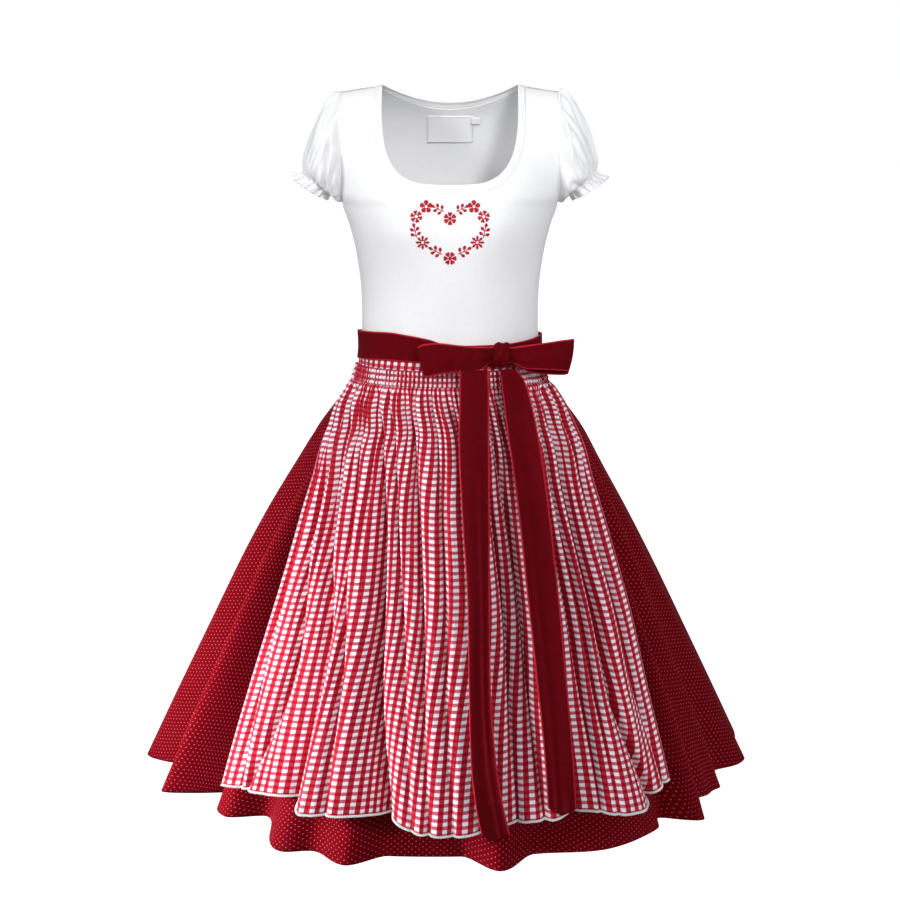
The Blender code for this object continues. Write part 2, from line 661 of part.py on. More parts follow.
def ribbon_rows():
    azimuth = np.linspace(-180, 180, 60, endpoint=False)
    over_apron = ease(azimuth, -99, -93) * (1 - ease(azimuth, 85, 91))
    out = LAYER_GAP + VELVET + (STRIP_OUT + 0.0002) * over_apron
    top, bottom = read_off(RIBBON_BAND, "top", azimuth), read_off(RIBBON_BAND, "bottom", azimuth)
    return np.array([waist_points(azimuth, z, out) for z in (bottom, WAIST_SEAM_Z, top)])


def resting_depth(x, z, half):
    """How far forward the apron and the ribbon band stand under a strip of cloth."""
    azimuth = np.linspace(-50, 65, 231)
    down = np.full(len(azimuth), min(z, SHIRRING_BOTTOM_Z - 2 * SEAM_GAP))
    hanging = apron_out(apron_share(azimuth, down), down)
    out = np.maximum(hanging, SHIRRING_OUT + 0.0022) if z > SHIRRING_BOTTOM_Z - 0.02 else hanging
    face = waist_points(azimuth, z, out)
    return face[np.abs(face[:, 0] - x) < half + 0.004, 1].min()


def tail_rows(tail):
    """Rows of points of a hanging ribbon end, which lies on the foremost folds of the apron."""
    levels = np.linspace(tail[0].z, tail[-1].z, 15)
    middle, width = read_off(tail, "x", levels), read_off(tail, "width", levels)
    depth = np.array([resting_depth(*row) for row in zip(middle, levels, width / 2)])
    eased = (np.concatenate([depth[:1], depth[:-1]]) + np.concatenate([depth[1:], depth[-1:]])) / 2
    forward = np.minimum(depth, eased) - TAIL_GAP - VELVET
    across = np.linspace(-0.5, 0.5, 5)
    rows = np.empty((len(levels), len(across), 3))
    rows[..., 0] = middle[:, None] + np.outer(width, across)
    rows[..., 1] = forward[:, None]
    rows[..., 2] = levels[:, None]
    rows[-1, :, 2] -= TAIL_POINT * (1 - np.abs(2 * across))
    return rows[::-1]


def loop_rows(loop):
    steps = np.linspace(0, loop[-1].step, 28)
    x, y, lean = (read_off(loop, column, steps) for column in ("x", "y", "lean"))
    low, high = read_off(loop, "bottom", steps), read_off(loop, "top", steps)
    return np.array([np.stack([x + lean * up, y, low + (high - low) * up], axis=-1) for up in (0, 0.5, 1)])


def knot_rows():
    """The ribbon wrapped round the roots of both loops, as rings from one end of the knot to the other."""
    turns = np.linspace(0, 2 * math.pi, 16, endpoint=False)
    rows = []
    for along in (-1, -0.6, 0, 0.6, 1):
        full = 1 - 0.1 * along**4
        y = KNOT_HALF_DEPTH * full * np.sin(turns)
        z = KNOT_HALF_HEIGHT * full * np.cos(turns)
        x = KNOT_WIDTH / 2 * along + KNOT_LEAN * z
        rows.append(np.stack([x, y, z], axis=-1) + np.array(KNOT_CENTRE))
    return np.array(rows)


def build_ribbon():
    sheet("ribbon_band", ribbon_rows(), VELVET, "red_velvet", ring=True)
    sheet("bow_tail_left", tail_rows(LEFT_TAIL), VELVET, "red_velvet")
    sheet("bow_tail_right", tail_rows(RIGHT_TAIL), VELVET, "red_velvet")
    sheet("bow_loop_left", loop_rows(LEFT_LOOP)[:, ::-1], VELVET, "red_velvet")
    sheet("bow_loop_right", loop_rows(RIGHT_LOOP), VELVET, "red_velvet")
    sheet("bow_knot", knot_rows(), VELVET, "red_velvet", ring=True)


clear_scene()
DRESS = bpy.data.collections.new("folk_dress")
bpy.context.scene.collection.children.link(DRESS)
MATERIALS = make_materials()
build_bodice()
build_label()
build_skirt()
build_apron()
build_ribbon()
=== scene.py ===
"""The looks of the folk dress: jersey bodice with puff sleeves, dotted skirt, gathered gingham apron with a
corded edge, velvet ribbon and bow, a flower heart on the chest, seams and stitches.

Metres, +Z up. The front faces -Y and the wearer's left is +X. Azimuth 0 is centre front and grows towards
+X. The cloth surfaces are the ones of the solid dress, laid out finer and with their smaller folds.
"""

import math
from collections import namedtuple

import bpy
import numpy as np
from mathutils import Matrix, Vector


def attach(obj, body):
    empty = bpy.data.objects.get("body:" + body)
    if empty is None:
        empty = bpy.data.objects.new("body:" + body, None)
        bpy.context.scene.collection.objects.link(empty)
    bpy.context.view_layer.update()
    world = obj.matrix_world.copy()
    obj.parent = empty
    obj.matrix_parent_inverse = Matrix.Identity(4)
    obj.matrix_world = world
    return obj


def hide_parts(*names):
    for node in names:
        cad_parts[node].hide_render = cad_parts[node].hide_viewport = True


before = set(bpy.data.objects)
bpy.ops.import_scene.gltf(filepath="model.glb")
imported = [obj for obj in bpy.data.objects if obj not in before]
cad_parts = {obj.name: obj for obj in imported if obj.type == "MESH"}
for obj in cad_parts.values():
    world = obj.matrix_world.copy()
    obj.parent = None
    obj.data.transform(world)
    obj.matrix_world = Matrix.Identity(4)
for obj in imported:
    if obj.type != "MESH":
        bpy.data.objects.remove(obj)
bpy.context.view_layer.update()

# Driving sizes of the bodice
NECK_HALF_WIDTH = 0.097
FRONT_NECK_DEPTH = 0.1375
BACK_NECK_DEPTH = 0.025
NECK_CURVE_POWER = 3.5
BINDING_WIDTH = 0.009
SHOULDER_HALF_WIDTH = 0.156
SHOULDER_DROP = 0.009
ARMPIT_Z = -0.166
ARMHOLE_FRONT_DEPTH = 0.050
ARMHOLE_BACK_DEPTH = 0.054
WAIST_Z = -0.378
BUST_Z = -0.196
BUST_HALF_SPACING = 0.074
BUST_RADIUS = 0.050
BUST_FULLNESS = 0.015

# Driving sizes of the skirt and the apron
SKIRT_HEM_Z = -1.000
SKIRT_SLANT = math.radians(26.7)
WAIST_SEAM_Z = -0.3785
APRON_TOP_Z = -0.374
STRIP_BOTTOM_Z = -0.4015
SHIRRING_BOTTOM_Z = -0.4225
SHIRRING_STITCHES = 3
SHIRRING_GATHERS = 66
SHIRRING_OUT = 0.0036
STRIP_OUT = 0.0022
BACK_GATHERS = 20
BACK_GATHER_DEPTH = 0.0050
APRON_CUT_WIDTH = 0.94
CORD_RADIUS = 0.0011
CORD_TWIST = 0.0062

# The velvet bow
KNOT_CENTRE = (0.0725, -0.1039, -0.3770)
KNOT_WIDTH = 0.021
KNOT_HALF_DEPTH = 0.0120
KNOT_HALF_HEIGHT = 0.0165
KNOT_LEAN = 0.12
TAIL_POINT = 0.010
TAIL_GAP = 0.0012

# Checks and dots. The checked cloth is laid out CHECKS_WIDTH wide, as much as the folds let show
WARP_PITCH = 0.0117
WARP_RED = 0.0061
WEFT_PITCH = 0.0094
WEFT_RED = 0.0047
CHECKS_WIDTH = 0.72
DOT_PITCH = 0.0094
DOT_ROW = 0.0036
DOT_RADIUS = 0.00072

# Cloth walls and the gaps between pieces
JERSEY = 0.0010
WOVEN = 0.0006
VELVET = 0.0010
SEAM_GAP = 0.0003
SIDE_GAP = 0.0005
LAYER_GAP = 0.0011

# Seams and stitches. Each stitch: from one to the next, its length and its radius
SEAM_RADIUS = 0.0010
ARMHOLE_SEAM_RADIUS = 0.0014
NECK_STITCH = (0.0029, 0.0021, 0.00030)
BACK_NECK_STITCH = (0.0029, 0.0020, 0.00028)
SLEEVE_STITCH = (0.0027, 0.0019, 0.00026)
LABEL_STITCH = (0.0026, 0.0018, 0.00028)
SHIRRING_STITCH = (0.0026, 0.0019, 0.00024)


def table(columns, *rows):
    """Rows of numbers whose columns have names."""
    return [namedtuple("Row", columns)(*row) for row in rows]


TORSO = table("z half_width front back wrap",
    (0, 0.156, 0, 0, 62), (-0.003, 0.156, 0.012, 0.015, 62), (-0.02, 0.156, 0.035, 0.044, 62),
    (-0.05, 0.156, 0.061, 0.071, 63), (-0.09, 0.156, 0.088, 0.09, 66), (-0.13, 0.156, 0.108, 0.099, 74),
    (-0.166, 0.156, 0.118, 0.101, 90), (-0.2, 0.146, 0.119, 0.099, 90), (-0.24, 0.1365, 0.115, 0.095, 90),
    (-0.3, 0.1295, 0.105, 0.09, 90), (-0.34, 0.129, 0.099, 0.088, 90), (-0.378, 0.1305, 0.098, 0.089, 90))

SKIRT = table("z half_width front back",
    (-0.3785, 0.1305, 0.098, 0.089), (-0.402, 0.133, 0.101, 0.093), (-0.43, 0.143, 0.111, 0.108),
    (-0.46, 0.165, 0.136, 0.136), (-0.5, 0.195, 0.17, 0.172), (-0.55, 0.223, 0.202, 0.205),
    (-0.61, 0.255, 0.236, 0.24), (-0.7, 0.299, 0.283, 0.288), (-0.8, 0.347, 0.336, 0.34),
    (-0.9, 0.395, 0.39, 0.391), (-1, 0.442, 0.44, 0.44))

SKIRT_FOLDS = table("azimuth out",
    (-180, -0.014), (-168, 0.026), (-158, -0.022), (-146, 0.018), (-135, -0.026), (-121, 0.026),
    (-110, -0.02), (-98, 0.012), (-90, 0.002), (-85, 0.005), (-77, -0.04), (-68, -0.022), (-58, -0.034),
    (-48, -0.02), (-42, -0.062), (-29, 0.022), (-24, 0.002), (-17, 0.031), (-11, -0.012), (2, -0.018),
    (8, 0.034), (15, -0.012), (28, 0.008), (46, -0.012), (55, -0.006), (71, -0.036), (84, 0.006),
    (90, -0.004), (99, 0.01), (106, -0.012), (112, 0.018), (119, -0.024), (131, 0.03), (143, -0.018),
    (155, 0.024), (166, -0.022), (174, 0.014), (180, -0.014))

# Sharper creases of the skirt: azimuth at the waist and at the hem, how far each stands out, its half width
# in degrees, and the share of the height where it begins
SKIRT_CREASES = table("top_azimuth hem_azimuth out width start",
    (-62, -66, 0.036, 3, 0.02), (-73, -75, -0.044, 3.6, 0.02), (-55, -58, -0.044, 3.2, 0.02),
    (-86, -87, 0.016, 3, 0.02), (60, 50, 0.026, 2.8, 0.02), (67, 57, -0.034, 3.2, 0.02),
    (54, 45, -0.024, 2.2, 0.02), (75, 67, 0.015, 2.6, 0.02), (84, 76, -0.014, 3, 0.02),
    (-96, -97, 0.01, 2.5, 0.1), (-126, -128, 0.011, 2.5, 0.1), (-150, -152, 0.01, 2.5, 0.1),
    (-163, -162, -0.008, 2.2, 0.1), (180, 179, 0.011, 2.6, 0.1), (160, 162, 0.01, 2.5, 0.1),
    (137, 136, 0.011, 2.4, 0.1), (103, 102, 0.01, 2.4, 0.1), (125, 124, -0.008, 2.2, 0.1))

APRON_EDGES = table("z left right",
    (-0.374, -92, 84), (-0.432, -86, 79), (-0.487, -62.5, 62), (-0.55, -53.5, 54), (-0.63, -49.5, 50.5),
    (-0.715, -47.5, 48), (-0.815, -46, 44.5), (-0.95, -44, 41.5))

APRON_HEM = table("share out z",
    (0, 0.022, -0.937), (0.075, 0.028, -0.932), (0.183, 0.024, -0.93), (0.232, 0.052, -0.936),
    (0.295, 0.044, -0.935), (0.375, 0.03, -0.935), (0.466, 0.046, -0.949), (0.525, 0.045, -0.95),
    (0.64, 0.029, -0.942), (0.71, 0.038, -0.94), (0.77, 0.034, -0.935), (0.845, 0.05, -0.942),
    (0.905, 0.046, -0.945), (0.952, 0.033, -0.934), (1, 0.026, -0.925))

# The apron's folds: share of the width where each runs, at the gathers, a third and two thirds down and at
# the hem, how deep it is at the gathers, at half height and at the hem, and its width as a share
APRON_FOLDS = table("top upper lower hem top_depth mid_depth hem_depth width",
    (0.035, 0.018, 0.032, 0.055, 0.006, 0.007, 0.004, 0.017),
    (0.078, 0.071, 0.126, 0.077, 0.009, 0.014, 0.007, 0.014),
    (0.125, 0.138, 0.209, 0.198, 0.011, 0.021, 0.016, 0.022),
    (0.19, 0.205, 0.261, 0.276, 0.009, 0.014, 0.005, 0.016),
    (0.253, 0.306, 0.346, 0.396, 0.012, 0.024, 0.018, 0.022),
    (0.308, 0.35, 0.408, 0.444, 0.008, 0.009, 0.004, 0.013),
    (0.372, 0.411, 0.451, 0.476, 0.01, 0.014, 0.006, 0.015),
    (0.455, 0.477, 0.5, 0.521, 0.007, 0.008, 0.004, 0.013),
    (0.52, 0.566, 0.592, 0.604, 0.011, 0.021, 0.012, 0.019),
    (0.575, 0.622, 0.641, 0.647, 0.008, 0.011, 0.005, 0.014),
    (0.63, 0.672, 0.687, 0.7, 0.009, 0.016, 0.007, 0.017),
    (0.7, 0.746, 0.755, 0.759, 0.011, 0.02, 0.01, 0.019),
    (0.762, 0.797, 0.807, 0.812, 0.008, 0.012, 0.005, 0.015),
    (0.83, 0.833, 0.839, 0.842, 0.009, 0.012, 0.004, 0.015),
    (0.898, 0.883, 0.889, 0.94, 0.012, 0.022, 0.015, 0.021),
    (0.95, 0.955, 0.957, 0.984, 0.006, 0.008, 0.004, 0.015))

SLEEVE = table("outer_x outer_z inner_x inner_z front back gather",
    (0.1566, -0.009, 0.1566, -0.166, 0.05, 0.054, 0),
    (0.159, -0.009, 0.158, -0.166, 0.0515, 0.0555, 0.0004),
    (0.172, -0.017, 0.161, -0.1665, 0.062, 0.064, 0.0022),
    (0.189, -0.044, 0.164, -0.166, 0.068, 0.069, 0.002),
    (0.2045, -0.079, 0.166, -0.164, 0.066, 0.067, 0.0026),
    (0.212, -0.107, 0.168, -0.16, 0.058, 0.059, 0.0038),
    (0.2125, -0.123, 0.1715, -0.153, 0.045, 0.046, 0.0022),
    (0.219, -0.1275, 0.1755, -0.157, 0.048, 0.049, 0.0026),
    (0.229, -0.131, 0.18, -0.163, 0.053, 0.054, 0.0036))
SLEEVE_GATHERS = 15
RING_STEP = 0.020
SLEEVE_RADIUS = 0.065

# Folds of the sleeves: side, both ends as ring number and turn round the sleeve, where 0 is the top and
# -1.57 the middle of the front, how far the fold stands out, and its half width in metres
SLEEVE_FOLDS = table("side ring_a turn_a ring_b turn_b out width",
    (1, 0.8, -0.05, 5, -0.54, 0.006, 0.006), (1, 0.9, -0.85, 2.9, -1.6, 0.006, 0.006),
    (1, 0.3, -0.49, 2.4, -0.8, -0.01, 0.007), (1, 3, -1.5, 5.2, -1.18, -0.009, 0.006),
    (1, 4.4, -1.05, 5.8, -0.72, -0.008, 0.006), (1, 3.6, -2.05, 5.4, -1.85, -0.0064, 0.006),
    (1, 1, -1.95, 4, -2.35, 0.0046, 0.007), (1, 1.6, -0.35, 3.8, -0.78, -0.0046, 0.005),
    (-1, 2.4, -1.36, 3, -1.66, -0.01, 0.006), (-1, 3, -1.66, 4.6, -2.02, -0.011, 0.006),
    (-1, 2, -1.6, 3.8, -2.12, 0.0062, 0.005), (-1, 1, -1.75, 3.6, -2.34, -0.0056, 0.005),
    (-1, 0, -0.28, 1.9, -0.47, -0.005, 0.004), (-1, 1.4, -0.1, 3.6, -0.85, 0.0056, 0.006),
    (-1, 0.9, -0.8, 2.8, -1.1, -0.0038, 0.005), (-1, 3.8, -0.9, 5.4, -0.7, -0.007, 0.006),
    (-1, 4.2, -1.3, 5.6, -1.2, 0.0046, 0.005), (1, 1, 0.75, 4.4, 1.2, -0.007, 0.007),
    (1, 0.8, 1.5, 4, 1.9, 0.0052, 0.008), (1, 3.4, 0.3, 5.4, 0.55, -0.007, 0.006),
    (-1, 1, 0.6, 4.2, 1.05, -0.007, 0.007), (-1, 0.8, 1.6, 4.2, 1.75, 0.0052, 0.008),
    (-1, 3.2, 0.35, 5.4, 0.2, -0.007, 0.006))

LEFT_TAIL = table("z x width",
    (-0.3955, 0.034, 0.041), (-0.42, 0.034, 0.042), (-0.48, 0.033, 0.0425), (-0.59, 0.0355, 0.037),
    (-0.68, 0.038, 0.03), (-0.78, 0.039, 0.029), (-0.86, 0.043, 0.033), (-0.915, 0.051, 0.036),
    (-0.952, 0.059, 0.037))
RIGHT_TAIL = table("z x width",
    (-0.3965, 0.082, 0.023), (-0.412, 0.089, 0.034), (-0.48, 0.1015, 0.043), (-0.57, 0.114, 0.043),
    (-0.66, 0.1235, 0.043), (-0.76, 0.133, 0.04), (-0.85, 0.141, 0.038), (-0.927, 0.146, 0.037))

RIBBON_BAND = table("azimuth top bottom",
    (-180, -0.359, -0.395), (-125, -0.359, -0.395), (-90, -0.353, -0.394), (-55, -0.349, -0.3905),
    (-40, -0.348, -0.3885), (-27, -0.3505, -0.389), (-13, -0.3555, -0.3905), (-3, -0.3625, -0.3925),
    (6, -0.3645, -0.3945), (34, -0.364, -0.396), (90, -0.357, -0.3965), (125, -0.361, -0.3955),
    (180, -0.359, -0.395))

LEFT_LOOP = table("step x y bottom top lean",
    (0, 0.07, -0.107, -0.3921, -0.3621, 0), (1, 0.058, -0.1085, -0.388, -0.366, 0),
    (2, 0.04, -0.121, -0.397, -0.364, 0), (3, 0.01, -0.127, -0.399, -0.36, -0.001),
    (4, -0.015, -0.1285, -0.402, -0.357, -0.003), (5, -0.03, -0.126, -0.406, -0.359, -0.008),
    (6, -0.0355, -0.121, -0.406, -0.364, -0.01), (7, -0.031, -0.1165, -0.4065, -0.3655, -0.008),
    (8, -0.01, -0.1135, -0.4, -0.362, -0.002), (9, 0.02, -0.112, -0.395, -0.363, 0),
    (10, 0.055, -0.1035, -0.388, -0.366, 0), (11, 0.07, -0.1015, -0.3921, -0.3621, 0))
RIGHT_LOOP = table("step x y bottom top lean",
    (0, 0.075, -0.107, -0.3919, -0.3619, 0), (1, 0.087, -0.1085, -0.388, -0.366, 0),
    (2, 0.11, -0.115, -0.396, -0.362, 0), (3, 0.135, -0.115, -0.397, -0.358, 0.001),
    (4, 0.156, -0.111, -0.399, -0.355, 0.003), (5, 0.168, -0.104, -0.401, -0.354, 0.007),
    (6, 0.169, -0.097, -0.405, -0.356, 0.008), (7, 0.16, -0.092, -0.408, -0.36, 0.005),
    (8, 0.135, -0.092, -0.407, -0.362, 0.001), (9, 0.11, -0.0955, -0.402, -0.364, 0),
    (10, 0.089, -0.1005, -0.388, -0.3665, 0), (11, 0.075, -0.1015, -0.3919, -0.3619, 0))

INWARD = (0, -1, 0)
LABEL_WIDTH = 0.068
LABEL_HEIGHT = 0.040
LABEL_CENTRE_Z = -0.064
SIZE_TAB_WIDTH = 0.010
SIZE_TAB_LAP = 0.0035


def read_off(rows, column, keys):
    """A column of a table at the given keys, along a smooth curve that never overshoots its rows."""
    x = np.array([row[0] for row in rows])
    y = np.array([getattr(row, column) for row in rows], float)
    return smooth_between(x, y, keys)


def smooth_between(x, y, keys):
    x, y = np.asarray(x, float), np.asarray(y, float)
    if x[0] > x[-1]:
        x, y = x[::-1], y[::-1]
    step = np.diff(x)
    rise = np.diff(y) / step
    slope = np.concatenate([rise[:1], np.zeros(len(x) - 2), rise[-1:]])
    before, after = rise[:-1], rise[1:]
    same_way = before * after > 0
    total = np.where(same_way, before + after, 1.0)
    slope[1:-1] = np.where(same_way, 2 * before * after / total, 0.0)
    keys = np.asarray(keys, float)
    k = np.clip(np.searchsorted(x, keys) - 1, 0, len(step) - 1)
    u = np.clip((keys - x[k]) / step[k], 0.0, 1.0)
    return (
        y[k] * (1 + 2 * u) * (1 - u) ** 2
        + y[k + 1] * u * u * (3 - 2 * u)
        + slope[k] * step[k] * u * (1 - u) ** 2
        - slope[k + 1] * step[k] * u * u * (1 - u)
    )


def ease(value, low, high):
    """0 below low, 1 above high, and a smooth rise between them."""
    u = np.clip((value - low) / (high - low), 0.0, 1.0)
    return u * u * (3 - 2 * u)


def bell(value, width):
    """1 at zero and nearly nothing two widths away."""
    return np.exp(-((value / width) ** 2))


def lopsided(value, before, after, power):
    """A fold's cross-section: 1 at zero, of one half width before it and another after it."""
    return np.exp(-np.abs(np.where(value < 0, value / before, value / after)) ** power)


def unit(vectors):
    return vectors / np.maximum(np.linalg.norm(vectors, axis=-1), 1e-12)[..., None]


def pairs(u, v):
    """Two numbers for each point of a grid."""
    return np.stack(np.broadcast_arrays(u, v), axis=-1)


def looped(points):
    """Rows of points with their first column again at the end."""
    return np.concatenate([points, points[:, :1]], axis=1)


def read_line(line, run, at):
    """A line of points, whose running length is given, at other lengths along it."""
    return np.stack([np.interp(at, run, line[:, k]) for k in range(3)], axis=-1)


def hills(seed, place, spacing):
    """A gentle random line of height -1 to 1 whose hills are about spacing apart."""
    rng = np.random.default_rng(seed)
    place = np.asarray(place, float)
    heights = rng.uniform(-1, 1, 4096)
    at = np.nan_to_num(place / spacing) + 1000
    k = np.floor(at).astype(int)
    u = at - k
    u = u * u * (3 - 2 * u)
    return heights[k % 4096] * (1 - u) + heights[(k + 1) % 4096] * u


# Node materials


def colour(red, green, blue):
    """A display colour of 0 to 255 as linear light."""
    parts = [c / 255 for c in (red, green, blue)]
    return tuple(c / 12.92 if c < 0.04045 else ((c + 0.055) / 1.055) ** 2.4 for c in parts) + (1.0,)


class Look:
    """A cloth's node material in the making."""

    def __init__(self, name, roughness=0.85):
        self.material = bpy.data.materials.new(name)
        self.material.use_nodes = True
        self.nodes = self.material.node_tree.nodes
        self.links = self.material.node_tree.links
        self.shader = self.nodes["Principled BSDF"]
        self.set("Roughness", roughness)
        self.set("Metallic", 0.0)
        self.set("Specular IOR Level", 0.3)

    def feed(self, socket, value):
        if hasattr(value, "is_linked"):
            self.links.new(value, socket)
        else:
            socket.default_value = value

    def set(self, name, value):
        self.feed(self.shader.inputs[name], value)

    def add(self, kind, **settings):
        node = self.nodes.new(kind)
        for key, value in settings.items():
            setattr(node, key, value)
        return node

    def math(self, operation, first, second=0.0, third=0.0):
        node = self.add("ShaderNodeMath", operation=operation)
        for socket, value in zip(node.inputs, (first, second, third)):
            self.feed(socket, value)
        return node.outputs[0]

    def times(self, first, second):
        return self.math("MULTIPLY", first, second)

    def plus(self, first, second):
        return self.math("ADD", first, second)

    def minus(self, first, second):
        return self.math("SUBTRACT", first, second)

    def mix(self, share, low, high):
        node = self.add("ShaderNodeMix", data_type="RGBA")
        for socket, value in ((0, share), (6, low), (7, high)):
            self.feed(node.inputs[socket], value)
        return node.outputs[2]

    def cloth(self):
        """The place on the cloth in metres, as two numbers."""
        node = self.add("ShaderNodeUVMap", uv_map="cloth")
        split = self.add("ShaderNodeSeparateXYZ")
        self.links.new(node.outputs[0], split.inputs[0])
        return split.outputs[0], split.outputs[1]

    def noise(self, scale, detail=2.0, stretch=(1, 1, 1)):
        place = self.add("ShaderNodeTexCoord").outputs["Object"]
        mapping = self.add("ShaderNodeMapping")
        mapping.inputs["Scale"].default_value = stretch
        self.links.new(place, mapping.inputs[0])
        node = self.add("ShaderNodeTexNoise")
        node.inputs["Scale"].default_value = scale
        node.inputs["Detail"].default_value = detail
        self.links.new(mapping.outputs[0], node.inputs["Vector"])
        return node.outputs[0]

    def step(self, value, off, full):
        """0 where the value is at off, 1 where it is at full, and a smooth change between."""
        node = self.add("ShaderNodeMapRange", interpolation_type="SMOOTHSTEP")
        for socket, part in enumerate((value, off, full)):
            self.feed(node.inputs[socket], part)
        return node.outputs[0]

    def within(self, place, pitch, shift=0.0):
        """The place in its own repeat of a pattern, from -0.5 to 0.5."""
        return self.minus(self.math("FRACT", self.plus(self.math("DIVIDE", place, pitch), shift)), 0.5)

    def band(self, place, pitch, width, blur):
        """1 on stripes of that width at that pitch, softened over blur."""
        off = self.math("ABSOLUTE", self.within(place, pitch))
        return self.step(off, (0.5 * width + blur) / pitch, (0.5 * width - blur) / pitch)

    def ribs(self, place, pitch):
        """A wave from -1 to 1 along a place on the cloth."""
        return self.math("SINE", self.times(place, 2 * math.pi / pitch))

    def bump(self, height, strength, distance, base=None):
        node = self.add("ShaderNodeBump")
        node.inputs["Strength"].default_value = strength
        node.inputs["Distance"].default_value = distance
        self.links.new(height, node.inputs["Height"])
        if base is not None:
            self.links.new(base, node.inputs["Normal"])
        return node.outputs[0]

    def weave(self, pitch, depth, strength=0.6):
        """Over and under threads, as relief."""
        u, v = self.cloth()
        return self.bump(self.times(self.ribs(u, pitch), self.ribs(v, pitch)), strength, depth)


def jersey_look():
    """White knit: fine ribs, a faint mottle and a soft nap."""
    look = Look("white_jersey_knit", 0.9)
    mottle = look.noise(260, 3)
    cloud = look.noise(14, 2)
    shade = look.mix(mottle, colour(236, 236, 237), colour(246, 246, 247))
    shade = look.mix(look.times(cloud, 0.25), shade, colour(230, 230, 232))
    look.set("Base Color", shade)
    look.set("Sheen Weight", 0.1)
    look.set("Sheen Roughness", 0.5)
    u, v = look.cloth()
    knit = look.plus(look.ribs(u, 0.0011), look.times(look.ribs(v, 0.0009), 0.5))
    normal = look.bump(knit, 0.25, 0.0002)
    look.set("Normal", look.bump(look.noise(90, 4), 0.12, 0.0012, normal))
    return look.material


def gingham_look():
    """Woven checks: red and white warps crossed by red and white wefts, each of a few thick threads."""
    look = Look("red_gingham", 0.85)
    u, v = look.cloth()
    wobble = look.times(look.minus(look.noise(420, 2), 0.5), 0.0007)
    u = look.plus(u, wobble)
    v = look.plus(v, wobble)
    warp = look.band(u, WARP_PITCH, WARP_RED, 0.00025)
    weft = look.band(v, WEFT_PITCH, WEFT_RED, 0.00025)
    warp_thread = look.band(u, WARP_PITCH / 8, WARP_PITCH / 22, 0.0003)
    weft_thread = look.band(v, WEFT_PITCH / 6, WEFT_PITCH / 17, 0.0003)
    white = look.mix(look.times(warp_thread, 0.25), colour(248, 247, 252), colour(226, 214, 224))
    rose = look.mix(warp_thread, colour(192, 20, 50), colour(154, 0, 30))
    rose = look.mix(look.times(weft_thread, 0.25), rose, colour(226, 134, 148))
    pink = look.mix(weft_thread, colour(204, 88, 114), colour(180, 36, 70))
    pink = look.mix(look.times(warp_thread, 0.3), pink, colour(232, 176, 190))
    red = look.mix(look.times(weft_thread, 0.5), colour(170, 0, 27), colour(146, 0, 20))
    look.set("Base Color", look.mix(warp, look.mix(weft, white, pink), look.mix(weft, rose, red)))
    look.set("Specular IOR Level", 0.12)
    look.set("Sheen Weight", 0.02)
    look.set("Normal", look.weave(0.0009, 0.00012))
    return look.material


def dotted_look():
    """Deep red cotton printed with rows of small pale dots, each row half a pitch over from the last."""
    look = Look("dotted_red_cotton", 0.8)
    u, v = look.cloth()
    masks = []
    for shift in (0.0, 0.5):
        x = look.times(look.within(u, DOT_PITCH, shift), DOT_PITCH)
        y = look.times(look.within(v, 2 * DOT_ROW, shift), 2 * DOT_ROW)
        square = look.plus(look.times(x, x), look.times(y, y))
        masks.append(look.step(look.math("SQRT", square), DOT_RADIUS * 1.15, DOT_RADIUS * 0.8))
    dots = look.math("MAXIMUM", *masks)
    threads = look.noise(900, 2)
    red = look.mix(threads, colour(102, 0, 12), colour(120, 0, 18))
    red = look.mix(look.times(look.noise(18, 3), 0.3), red, colour(92, 0, 10))
    look.set("Base Color", look.mix(dots, red, colour(206, 96, 98)))
    look.set("Specular IOR Level", 0.04)
    look.set("Sheen Weight", 0.03)
    look.set("Sheen Tint", colour(255, 20, 40))
    look.set("Normal", look.weave(0.0008, 0.00010))
    return look.material


def velvet_look():
    """Dark pile with lighter satin selvedges. Across the ribbon the cloth place runs from 0 to 1."""
    look = Look("dark_red_velvet", 0.9)
    u, v = look.cloth()
    selvedge = look.step(look.math("ABSOLUTE", look.minus(v, 0.5)), 0.445, 0.462)
    ribs = look.math("MULTIPLY_ADD", look.ribs(u, 0.0011), 0.5, 0.5)
    satin = look.mix(ribs, colour(150, 10, 30), colour(196, 40, 58))
    pile = look.mix(look.noise(120, 4), colour(76, 0, 6), colour(106, 0, 13))
    pile = look.mix(look.times(look.noise(22, 3), 0.5), pile, colour(88, 0, 9))
    look.set("Base Color", look.mix(selvedge, pile, satin))
    look.set("Specular IOR Level", 0.08)
    look.set("Sheen Weight", 0.14)
    look.set("Sheen Roughness", 0.3)
    look.set("Sheen Tint", colour(240, 0, 30))
    look.set("Roughness", look.minus(0.92, look.times(selvedge, 0.4)))
    look.set("Normal", look.bump(look.noise(700, 2), 0.35, 0.0004))
    return look.material


def thread_look(name, red, green, blue, sheen=0.3):
    """Twisted thread: a strong tiny grain and a little gloss."""
    look = Look(name, 0.7)
    grain = look.noise(1500, 2)
    dark = colour(red * 0.86, green * 0.86, blue * 0.87)
    look.set("Base Color", look.mix(grain, dark, colour(red, green, blue)))
    look.set("Sheen Weight", sheen)
    look.set("Normal", look.bump(look.noise(1100, 3), 0.5, 0.0003))
    return look.material


def label_look():
    """Woven satin tape: fine lengthwise threads and a soft gloss, no words."""
    look = Look("bare_woven_label", 0.55)
    threads = look.ribs(look.cloth()[1], 0.0007)
    tone = look.math("MULTIPLY_ADD", threads, 0.2, 0.5)
    look.set("Base Color", look.mix(tone, colour(240, 240, 241), colour(252, 252, 252)))
    look.set("Sheen Weight", 0.15)
    look.set("Normal", look.bump(threads, 0.3, 0.00015))
    return look.material


# Meshes


